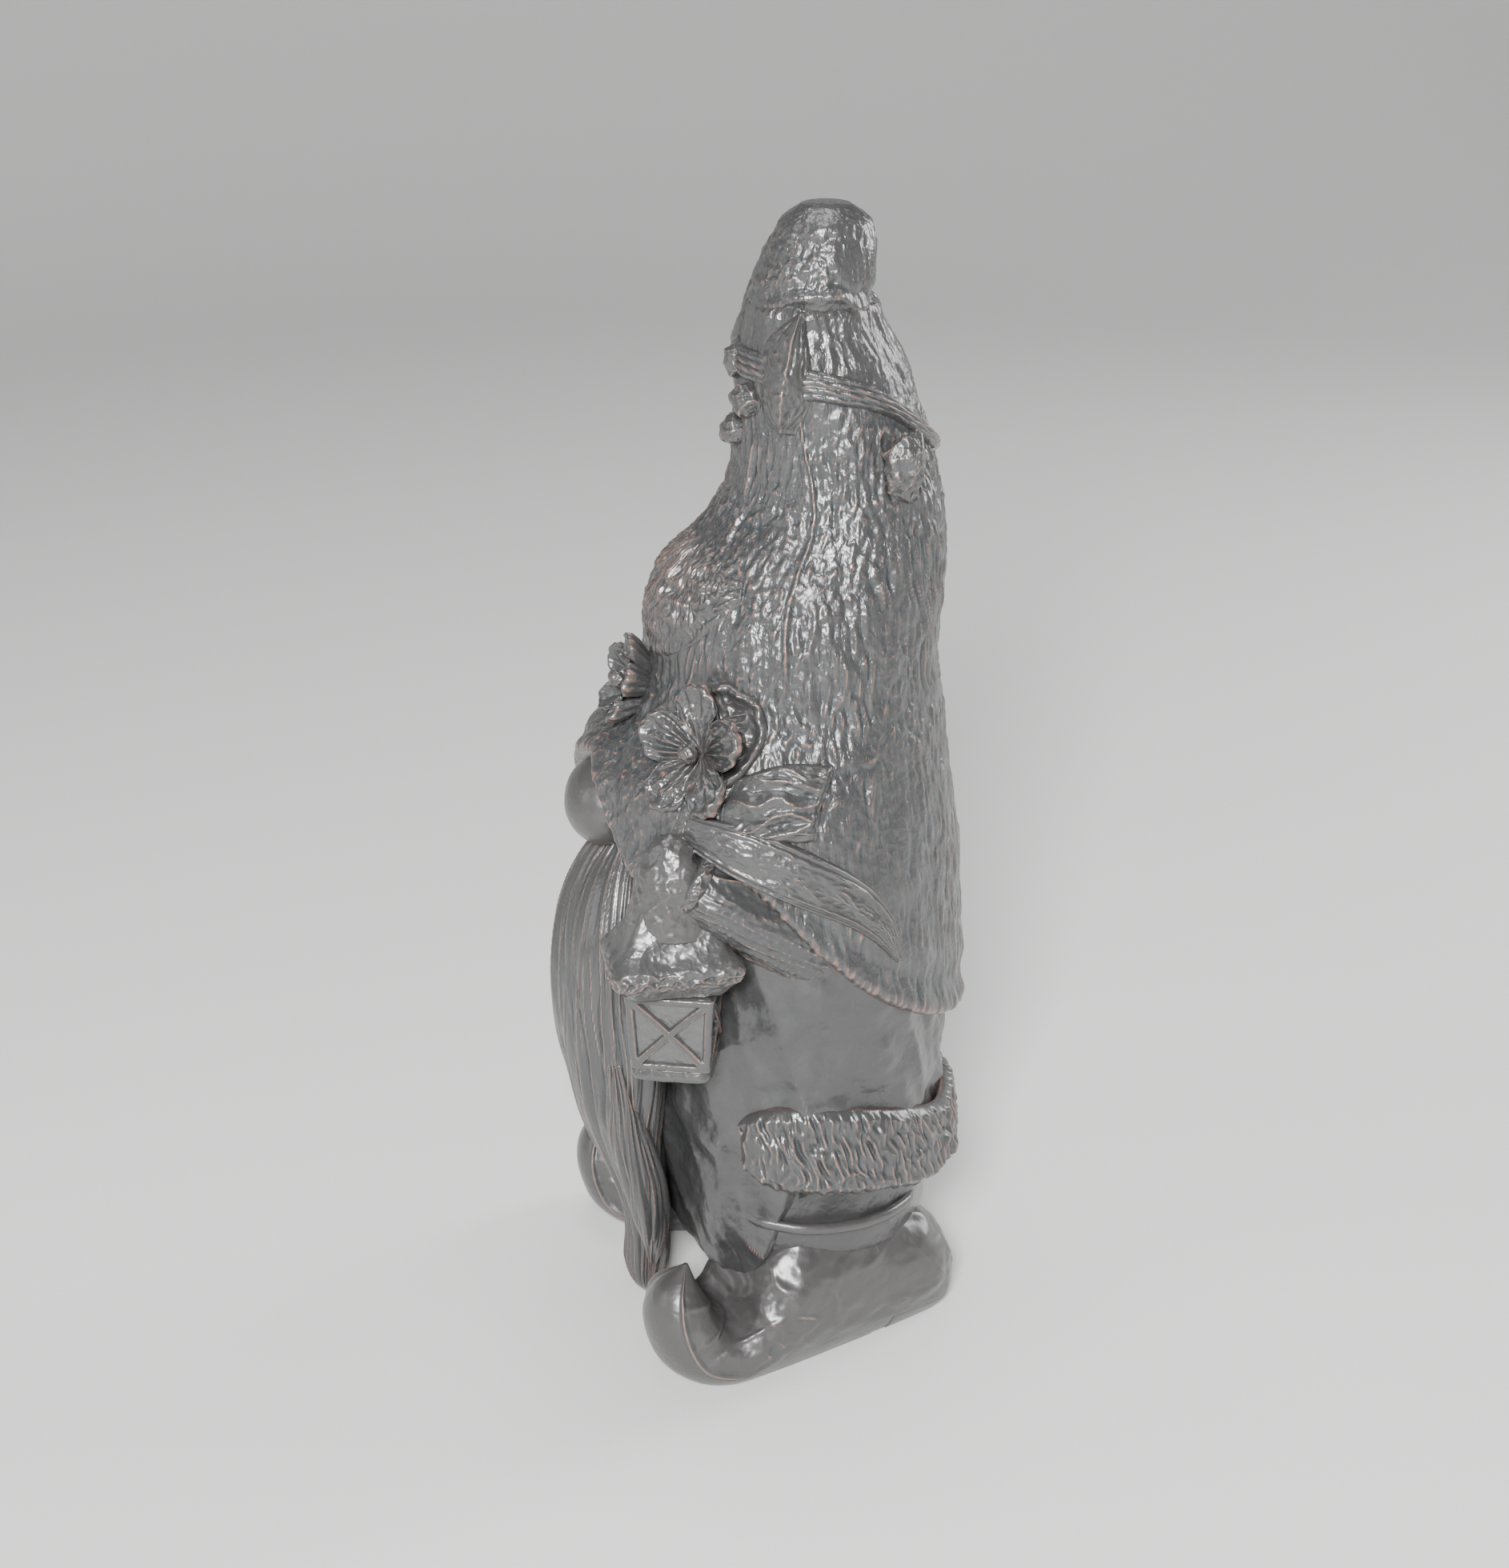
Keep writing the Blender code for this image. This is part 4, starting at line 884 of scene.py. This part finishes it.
def build_fur():
    """The fur trim round the hem, which stops short of the front: one loop across it at each angle."""
    form = bpy.context.scene.gnome_form
    angle = np.linspace(FUR_FROM + 0.5, 360 - FUR_FROM - 0.5, 560)[:, None]
    low, high = (smooth(*knots, side_angle(angle)) for knots in (FUR_LOW, FUR_TOP))
    outer = shares(84)
    rise = np.concatenate([outer[::-1], shares(8)[1:-1]])
    swell = 0.5 + 0.5 * (1 - outer[::-1]) ** 0.7
    rounding = np.clip(outer[::-1] * 7, 0, 1) ** 0.5 * np.clip((1 - outer[::-1]) * 10, 0, 1) ** 0.5
    out = np.concatenate([5.0 * swell * rounding, np.full(6, -2.0)]) + 0.2
    is_face = np.concatenate([np.ones(84), np.zeros(6)])
    along = shares(560)[:, None]
    ends = 0.4 + 0.6 * np.sqrt(step(-0.01, 0.07, along) * step(1.01, 0.93, along))
    tucked = 2.2 * (step(0.02, 0, along) + step(0.98, 1, along))
    tucked = tucked + 1.2 * step(130, 165, side_angle(angle))
    middle = (low + high) / 2
    low, high = middle + (low - middle) * ends, middle + (high - middle) * ends
    flat = stack(60 * np.sin(np.radians(angle)), 60 * np.cos(np.radians(angle)), 0 * angle)
    ragged = 1.3 * noise(flat / 3.2, 121) + 1.6 * noise(flat / 9, 120) * step(110, 140, side_angle(angle))
    height = low + ragged * (1 - rise) ** 2 + (high - low) * rise
    place = coat_point(angle, height, 0 * rise)
    slope = stack(place[..., 0], place[..., 1] + 0.2 * place[..., 2], place[..., 2])
    slope = slope + wander(place, 1.3, 7, 122)
    tufts = 1.3 * noise(slope / (1.3, 1.3, 4.5), 125) + 0.5 * crests(slope / (3.2, 3.2, 9), 126)
    tufts = tufts + 0.9 * noise(place / (8, 8, 16), 127)
    edge_fade = np.clip(rise * 5, 0, 1) * np.clip((1 - rise) * 8, 0, 1)
    out = out * ends - tucked * is_face + form.fur_tuft / MM * tufts * is_face * edge_fade
    fur = coat_point(angle, height, out)
    add_piece("fur_hem", "beard", fur)


def build_trousers():
    """Both legs in one block round the upright moulding hole, notched in front and behind."""
    angle = turns(300)
    top = tilted_height(angle, HEM_AT_AXIS - 1.5, HEM_FALL)
    off_centre = np.degrees(np.arcsin(np.sin(np.radians(angle))))
    share = shares(60)[:, None]
    notch = 1 - 0.30 * (1 - share) ** 1.5 * np.exp(-((off_centre / 14) ** 2))
    behind = step(60, 84, side_angle(angle))
    inset = 1.6 + 2.2 * behind + (4 - 0.5 * behind) * (1 - share) ** 2
    rings = coat_point(angle, 50.0 + 0 * share, -inset)
    rings[..., :2] = (rings[..., :2] - (0, 7)) * notch[..., None] + (0, 7)
    rings[..., 2] = 27.0 + (top - 27.0) * share
    scoop = -1.6 * bump(share, 0.75, 0.25) * behind
    lower = relief(rings, 0.9 * noise(rings / 15, 131) + 0.4 * crests(rings / (14, 14, 20), 132) - 0.4 + scoop)
    circle = stack(9 * np.sin(np.radians(angle)), 7 - 9 * np.cos(np.radians(angle)), 0 * angle)
    bore = [circle + (0, 0, height) for height in (59, 27)]
    add_piece("trousers", "coat", np.concatenate([bore, lower]), looped=True)


def build_coat():
    build_coat_body()
    build_fur()
    build_trousers()


# ---------------------------------------------------------------- arms


def build_arms():
    """Sleeve, cuff and mitten of each arm, one after the other along the forearm."""
    for word, line in (("left", LEFT_ARM), ("right", RIGHT_ARM)):
        path = through(line, 120)
        share = shares(120)
        sleeve = swept(path, smooth([0, 0.1, 0.5, 0.8, 1], [5, 8.6, 10.2, 9.4, 8.4], share), 150)
        push = wander(sleeve, 2, 14, 141)
        turn = np.radians(turns(150))
        comb = stack(np.cos(turn), np.sin(turn), 1.6 * share[:, None])
        drape = crests(comb * (1.6, 1.6, 1) + push * 0.06, 144) + 0.3 * crests(comb * (5, 5, 2), 145)
        drape = drape + 0.25 * crests(sleeve / 2.6, 150)
        add_piece(f"{word}_sleeve", "coat", relief(sleeve, 0.85 * drape - 0.6))

        along = (path[-1] - path[-4]) / np.linalg.norm(path[-1] - path[-4])
        t = shares(44)
        line = path[-1] + along * (-0.6 + 4.6 * t)[:, None]
        cuff = swept(line, 8.0 + 1.7 * np.sin(np.pi * t) ** 0.5, 130)
        curls = 0.45 * crests(cuff / 2, 146) + 0.4 * rough(cuff / 3, 147)
        cuff = relief(cuff, curls * np.sin(np.pi * t)[:, None])
        add_piece(f"{word}_cuff", "beard", cuff)

        side = 1 if word == "left" else -1
        t = shares(110)
        line = path[-1] + through(np.array(HAND) * (side, 1, 1), 110)
        radius = smooth([0, 0.05, 0.25, 0.55, 0.85, 1], [0.5, 2.0, 5.6, 8.8, 11.0, 11.8], t)
        hand = swept(line, radius, 140, 0.92, up=(1, 0, 0))
        crumple = 0.3 * crests(hand / 4.6, 149) + 0.2 * rough(hand / 2.0, 151)
        fade = step(0, 0.12, t)[:, None]
        hand = relief(hand, (0.7 * noise(hand / 7, 148) + crumple) * fade - 0.2)
        add_piece(f"{word}_mitten", "skin", hand)


# ---------------------------------------------------------------- lantern


def lantern_place(points, at=LANTERN_AT, yaw=LANTERN_YAW):
    """Turns points from the lantern's own upright axes into the gnome's."""
    turn = np.radians(-yaw)
    x, y, z = np.moveaxis(np.asarray(points, float), -1, 0)
    along = at[0] + x * np.cos(turn) - y * np.sin(turn)
    return stack(along, at[1] + x * np.sin(turn) + y * np.cos(turn), z)


def rounded_square(sides, power):
    """Unit square ring with rounded corners: a circle whose radius is that of a superellipse of the power."""
    turn = np.radians(turns(sides))
    c, s = np.cos(turn), np.sin(turn)
    radius = (np.abs(c) ** power + np.abs(s) ** power) ** (-1 / power)
    return stack(radius * c, radius * s)


def upright(ring, half, z):
    """Copies of a flat ring, each scaled to its half width and set at its height."""
    return stack(half[:, None] * ring[:, 0], half[:, None] * ring[:, 1], z[:, None] + 0 * ring[:, 0])


def lantern_half(z):
    return np.interp(z, LANTERN_BOX, LANTERN_HALF)


def build_lantern_frame():
    """A box with crossed bars on each side: the flats between the bars are pressed in."""
    low, high = LANTERN_BOX
    ring = rounded_square(320, 16)
    share = shares(100)
    z = low + (high - low) * share
    rings = upright(ring, lantern_half(z), z)
    flat = np.where(np.abs(ring[:, 0]) > np.abs(ring[:, 1]), ring[:, 1], ring[:, 0])
    s, t = flat * 1.16, (2 * share - 1)[:, None] * 1.16
    bar = step(0.10, 0.19, np.abs(np.abs(s) - np.abs(t)))
    border = step(0.96, 0.88, np.maximum(np.abs(s), np.abs(t)))
    recess = -1.7 * bar * border
    raised = 0.35 * (1 - bar * border) * bump(np.abs(np.abs(s) - np.abs(t)), 0.13, 0.05) * border
    ends = step(0, 0.03, share)[:, None] * step(1, 0.97, share)[:, None]
    rings = relief(rings, (recess + raised) * ends + 0.2 * noise(rings / 5, 151) - 1.2 * (1 - ends) - 0.1)
    add_piece("lantern_frame", "lantern", lantern_place(rings))


def build_lantern_panes():
    """Four thin plates just inside the box, one behind each pair of bars."""
    low, high = LANTERN_BOX
    for number, word in enumerate(("front", "outer", "back", "inner")):
        turn = np.radians(90 * number)
        rotate = np.array([[np.cos(turn), -np.sin(turn), 0], [np.sin(turn), np.cos(turn), 0], [0, 0, 1]])
        t = shares(40)
        z = low + 2.2 + (high - low - 4.4) * t
        far = lantern_half(z) - 1.35
        ring = rounded_square(80, 10)
        plate = stack(
            (far - 0.9)[:, None] * ring[:, 0],
            -(far - 0.8)[:, None] + 0.8 * ring[:, 1],
            z[:, None] + 0 * ring[:, 0]
        )
        plate = relief(plate, 0.18 * noise(plate / 3, 152 + number))
        add_piece(f"lantern_pane_{word}", "pane", lantern_place(plate @ rotate.T))


def build_lantern_base():
    t = shares(40)
    z = smooth([0, 0.4, 1], [LANTERN_FLOOR + 0.2, LANTERN_FLOOR + 1, LANTERN_BOX[0] + 0.4], t)
    half = smooth([0, 0.15, 0.5, 1], [6.5, 9.4, 10.9, 10.5], t)
    base = upright(rounded_square(240, 7), half, z)
    add_piece("lantern_base", "lantern", lantern_place(relief(base, 0.25 * noise(base / 5, 157))))


def build_lantern_roof():
    """A square roof with hollow sides and a rough eave, narrower on the side of the beard."""
    t = shares(130)
    z = smooth([0, 0.12, 0.25, 0.4, 0.6, 0.8, 1], LANTERN_ROOF[0], t)
    half = smooth(LANTERN_ROOF[0], LANTERN_ROOF[1], z)
    ring = rounded_square(320, 9)
    roof = upright(ring, half, z)
    roof[..., 0] = np.where(roof[..., 0] < 0, 0.5 * roof[..., 0], roof[..., 0])
    corner = np.abs(ring[:, 0] * ring[:, 1]) ** 6
    eave = bump(z, 132.3, 2.6)[:, None]
    amount = 0.9 * crests(roof / 2.4, 158) * eave + 0.6 * rough(roof / 3, 159) * eave + 0.7 * corner * eave
    amount = amount + 0.35 * crests(roof / (6, 6, 9), 160) * (1 - eave) + 0.5 * noise(roof / 9, 161) - 0.5
    add_piece("lantern_roof", "lantern", lantern_place(relief(roof, amount), ROOF_AT, ROOF_YAW))


def build_lantern():
    build_lantern_frame()
    build_lantern_panes()
    build_lantern_base()
    build_lantern_roof()


# ---------------------------------------------------------------- boots


def boot_frame(side):
    """Origin, forward and outward directions of a boot, on the ground."""
    turn = np.radians(BOOT_TOE_OUT)
    forward = np.array([side * np.sin(turn), -np.cos(turn), 0])
    outward = np.array([side * np.cos(turn), np.sin(turn), 0])
    return np.array([side * BOOT_HEEL[0], BOOT_HEEL[1], 0]), forward, outward


def boot_rings(side, share, angle, inset):
    """Sections of the boot at shares of its length, on a line that curls up and back at the toe. angle is 0 at
    the sole, and inset is how far each point is drawn in from the outside."""
    origin, forward, outward = boot_frame(side)
    knots = shares(len(BOOT_ALONG))
    along, rise, tilt, half_height, half_width = (
        smooth(knots, k, share)[:, None]
        for k in (BOOT_ALONG, BOOT_RISE, BOOT_TILT, BOOT_HALF_HEIGHT, BOOT_HALF_WIDTH)
    )
    a, lean = np.radians(angle), np.radians(tilt)
    scale = np.maximum(1 - inset / np.maximum(half_height, 1), 0.1)
    down = -np.cos(a) * half_height * scale * (1 + 0.25 * step(-0.1, 0.4, np.cos(a)))
    aside = np.sin(a) * half_width * scale
    s = along - down * np.sin(lean)
    z = rise + down * np.cos(lean)
    z = np.maximum(z, np.where(np.cos(a) > 0, inset, -50))
    return origin + s[..., None] * forward + aside[..., None] * outward + stack(0 * z, 0 * z, z)


def build_boots():
    """Each boot's upper with its creases, the sole that curls up over the toe, the heel and the ankle band."""
    form = bpy.context.scene.gnome_form
    for side, word in ((1, "left"), (-1, "right")):
        share = shares(200)
        loop = turns(230)
        rings = boot_rings(side, share, loop, 0.35 + 0 * share[:, None])
        upper_part = step(58, 70, side_angle(loop))
        bent = rings + wander(rings, 3, 15, 171)
        creases = 0.7 * step(0.5, 1, crests(bent / (19, 14, 10), 174)) + 0.35 * crests(rings / (13, 9, 9), 175)
        instep = bump(share, 0.55, 0.12)[:, None] * crests(rings / (20, 6, 6), 176)
        lumps = 1.0 * noise(rings / 16, 177) + 0.5 * noise(rings / 7, 178) + 0.22 * noise(rings / 3.2, 179)
        amount = lumps + form.boot_crease / MM * (creases + 0.8 * instep) - 0.4
        welt = 1.0 * bump(side_angle(loop), 63, 3.2) * step(0.5, 0.68, share)[:, None]
        rings = relief(rings, (amount * upper_part + welt) * step(1.0, 0.9, share)[:, None])
        rings[..., 2] = np.maximum(rings[..., 2], 0.3)
        add_piece(f"{word}_boot_upper", "boot", rings)

        arc = np.linspace(-SOLE_ANGLE - 1, SOLE_ANGLE + 1, 120)
        strip = np.concatenate([arc, arc[::-1][1:-1:4]])
        depth = np.concatenate([0.3 + 0.5 * bump(np.abs(arc), SOLE_ANGLE + 1, 3), 3.4 + 0 * arc[1:-1:4]])
        share = np.linspace(0.245, 0.97, 160)
        rounding = 1.0 * (bump(share, 0.245, 0.012) + bump(share, 0.97, 0.03))[:, None]
        sole = boot_rings(side, share, strip, depth + rounding * (depth < 3))
        lift = (0.35 * noise(sole / 12, 181) - 0.1) * (depth < 3) * step(0.2, 2, sole[..., 2])
        sole = relief(sole, lift)
        sole[..., 2] = np.maximum(sole[..., 2] - 0.3, 0)
        add_piece(f"{word}_boot_sole", "boot", sole)

        share = np.linspace(0.0, 0.235, 70)
        depth = np.concatenate([0.3 + 0.5 * bump(np.abs(arc), SOLE_ANGLE + 1, 3), 9 + 0 * arc[1:-1:4]])
        heel = boot_rings(side, share, strip, depth)
        heel[..., 2] = np.maximum(heel[..., 2] - 0.3, 0)
        add_piece(f"{word}_boot_heel", "boot", heel)

        origin, forward, outward = boot_frame(side)
        turn = np.radians(turns(220))[:, None]
        section = np.radians(turns(30))
        reach = 1.4 * np.cos(section) + 0.6 * noise(stack(np.cos(turn), np.sin(turn), 0 * turn) * 3, 182)
        s, aside = 41 - (27 + reach) * np.cos(turn), (17.5 + reach) * np.sin(turn)
        z = 44.6 + 0.12 * (s - 41) + 1.7 * np.sin(section)
        band = origin + s[..., None] * forward + aside[..., None] * outward + stack(0 * z, 0 * z, z)
        add_piece(f"{word}_boot_cuff", "boot", band, looped=True)


# ---------------------------------------------------------------- stage


def plain_material(name, colour, roughness):
    made = bpy.data.materials.new(name)
    made.use_nodes = True
    shader = made.node_tree.nodes["Principled BSDF"]
    shader.inputs["Base Color"].default_value = (*colour, 1)
    shader.inputs["Roughness"].default_value = roughness
    return made


def softbox(name, place, aim, size, power):
    """An area light at a place that faces a point."""
    light = bpy.data.lights.new(name, "AREA")
    light.shape = "RECTANGLE"
    light.size, light.size_y = size
    light.energy = power
    obj = bpy.data.objects.new(name, light)
    obj.location = place
    obj.rotation_mode = "QUATERNION"
    obj.rotation_quaternion = (Vector(aim) - Vector(place)).to_track_quat("-Z", "Y")
    bpy.context.scene.collection.objects.link(obj)


def build_stage():
    """A pale floor that sweeps up into a backdrop, soft lights, and the camera from the gnome's left."""
    look = bpy.context.scene.gnome_view
    azimuth, rise = look.azimuth, look.elevation
    back = Vector((np.sin(azimuth) * np.cos(rise), -np.cos(azimuth) * np.cos(rise), np.sin(rise)))
    target = Vector((-ORIGIN[0] * MM, -ORIGIN[1] * MM, 0.16))
    camera = bpy.data.cameras.new("Camera")
    camera.lens = look.lens
    camera.sensor_width = 36
    camera.clip_start, camera.clip_end = 0.02, 50
    obj = bpy.data.objects.new("Camera", camera)
    obj.location = target + back * look.distance
    obj.rotation_mode = "QUATERNION"
    obj.rotation_quaternion = (-back).to_track_quat("-Z", "Y")
    bpy.context.scene.collection.objects.link(obj)
    bpy.context.scene.camera = obj

    radius = np.concatenate([np.linspace(0.1, 1.2, 12), 1.2 + 0.8 * np.sin(np.linspace(0.1, 1.5, 14))])
    height = np.concatenate([np.zeros(12), 0.8 * (1 - np.cos(np.linspace(0.1, 1.5, 14)))])
    turn = np.radians(turns(96))
    points = stack(radius[:, None] * np.sin(turn), radius[:, None] * np.cos(turn), height[:, None])
    points = points.reshape(-1, 3)
    i, j = np.meshgrid(np.arange(25), np.arange(96), indexing="ij")
    after = (j + 1) % 96
    quads = stack(i * 96 + j, i * 96 + after, (i + 1) * 96 + after, (i + 1) * 96 + j).reshape(-1, 4)
    fan = stack(len(points), np.roll(np.arange(96), -1), np.arange(96))
    mesh = bpy.data.meshes.new("floor")
    mesh.from_pydata(np.vstack([points, (0, 0, 0)]).tolist(), [], quads.tolist() + fan.tolist())
    mesh.update()
    mesh.shade_smooth()
    mesh.materials.append(plain_material("Floor", bpy.context.scene.gnome_colours.floor, 0.7))
    floor = bpy.data.objects.new("floor", mesh)
    bpy.context.scene.collection.objects.link(floor)

    world = bpy.data.worlds.new("Studio")
    world.use_nodes = True
    world.node_tree.nodes["Background"].inputs["Color"].default_value = (0.92, 0.95, 1.0, 1)
    world.node_tree.nodes["Background"].inputs["Strength"].default_value = WORLD_STRENGTH
    bpy.context.scene.world = world
    for name, place, size, power in LIGHTS:
        softbox(name, place, LIGHT_AIM, size, power)


# ---------------------------------------------------------------- add-on


def length_property(name, words, value):
    return bpy.props.FloatProperty(name=name, description=words, default=value, unit="LENGTH")


def angle_property(name, words, degrees):
    return bpy.props.FloatProperty(name=name, description=words, default=np.radians(degrees), subtype="ANGLE")


def colour_property(name, words, value):
    kind = {"subtype": "COLOR", "min": 0, "max": 1}
    return bpy.props.FloatVectorProperty(name=name, description=words, default=value, **kind)


class GnomeForm(bpy.types.PropertyGroup):
    """Depths of the cast relief."""

    hat_grain: length_property("Hat grain", "Height of the strokes on the hat", 0.00058)
    beard_groove: length_property("Beard groove", "Depth of the grooves between strands", 0.0009)
    coat_crease: length_property("Coat crease", "Height of the creases on the coat", 0.0006)
    fur_tuft: length_property("Fur tuft", "Height of the tufts on the fur trim", 0.0009)
    boot_crease: length_property("Boot crease", "Height of the creases on the boots", 0.0005)


class GnomeView(bpy.types.PropertyGroup):
    """Where the camera stands."""

    azimuth: angle_property("Azimuth", "Turn from the front towards the left", 74)
    elevation: angle_property("Elevation", "Height above the horizon", 24)
    distance: length_property("Distance", "From the middle of the gnome", 0.72)
    lens: bpy.props.FloatProperty(name="Lens", description="Focal length", default=60, unit="CAMERA")


class GnomeColours(bpy.types.PropertyGroup):
    """Greys of the castings, the dust on crests and the wash in creases."""

    hat: colour_property("Hat", "Grey of the hat", (0.046, 0.0455, 0.0455))
    # The coat's grey, also used on the sleeves and trousers, is darker than the other castings': painted
    # shade.
    coat: colour_property("Coat", "Grey of the coat, darker as painted shade", (0.038, 0.0377, 0.038))
    beard: colour_property("Beard", "Grey of the beard and fur", (0.045, 0.0443, 0.0441))
    skin: colour_property("Skin", "Grey of the nose and mittens", (0.048, 0.0453, 0.0446))
    boot: colour_property("Boots", "Grey of the boots", (0.048, 0.0453, 0.0446))
    flower: colour_property("Flowers", "Grey of the flowers, leaves and berries", (0.047, 0.0458, 0.0455))
    lantern: colour_property("Lantern", "Grey of the lantern", (0.052, 0.0508, 0.0505))
    # The panes' grey is lighter than the other castings': a painted highlight on the panes.
    pane: colour_property("Panes", "Grey of the lantern's panes, lighter as a painted highlight", (0.074, 0.0728, 0.0724))
    # Colour of the painted highlight laid along ridges.
    crest: colour_property("Painted crest highlight", "Warm painted highlight on crests", (0.30, 0.165, 0.125))
    # Colour of the painted shade laid in hollows.
    crease_shade: colour_property("Painted crease shade", "Cool painted shade in creases", (0.010, 0.024, 0.030))
    floor: colour_property("Floor", "Pale floor", (0.74, 0.74, 0.73))


def operator_class(idname, label, words, work):
    """An operator that runs one build function."""

    def execute(self, context):
        work()
        return {"FINISHED"}

    members = {"bl_idname": "gnome." + idname, "bl_label": label, "__doc__": words, "execute": execute}
    return type("GNOME_OT_" + idname, (bpy.types.Operator,), members)


OPERATORS = [
    operator_class("stage", "Stage", "Add the floor, the lights and the camera", build_stage),
    operator_class("hat", "Hat", "Add the hat and its folded tip", build_hat),
    operator_class("band", "Hat band", "Add the plaited cord and its knot", build_band),
    operator_class("trims", "Hat trims", "Add the pointed leaves, berries and tuft", build_trims),
    operator_class("flowers", "Flowers", "Add the two flowers", build_flowers),
    operator_class("leaves", "Leaves", "Add the round, long and short leaves", build_leaves),
    operator_class("nose", "Nose", "Add the nose", build_nose),
    operator_class("beard", "Beard", "Add the beard and its two locks", build_beard),
    operator_class("coat", "Coat", "Add the coat, the fur trim and the trousers", build_coat),
    operator_class("arms", "Arms", "Add the sleeves, cuffs and mittens", build_arms),
    operator_class("lantern", "Lantern", "Add the lantern", build_lantern),
    operator_class("boots", "Boots", "Add the boots", build_boots),
]


class GNOME_PT_build(bpy.types.Panel):
    """Lists the gnome's pieces in the sidebar."""

    bl_label = "Garden gnome"
    bl_idname = "GNOME_PT_build"
    bl_space_type = "VIEW_3D"
    bl_region_type = "UI"
    bl_category = "Gnome"

    def draw(self, context):
        layout = self.layout
        for group in (context.scene.gnome_form, context.scene.gnome_view, context.scene.gnome_colours):
            box = layout.box()
            for name in group.bl_rna.properties.keys():
                if name not in ("rna_type", "name"):
                    box.prop(group, name)
        for cls in OPERATORS:
            layout.operator(cls.bl_idname)


CLASSES = [GnomeForm, GnomeView, GnomeColours, *OPERATORS, GNOME_PT_build]


def register():
    for cls in CLASSES:
        bpy.utils.register_class(cls)
    bpy.types.Scene.gnome_form = bpy.props.PointerProperty(type=GnomeForm)
    bpy.types.Scene.gnome_view = bpy.props.PointerProperty(type=GnomeView)
    bpy.types.Scene.gnome_colours = bpy.props.PointerProperty(type=GnomeColours)


def unregister():
    del bpy.types.Scene.gnome_colours
    del bpy.types.Scene.gnome_view
    del bpy.types.Scene.gnome_form
    for cls in reversed(CLASSES):
        bpy.utils.unregister_class(cls)


def main():
    register()
    for cls in OPERATORS:
        getattr(bpy.ops.gnome, cls.bl_idname.split(".")[1])()


if __name__ == "__main__":
    main()
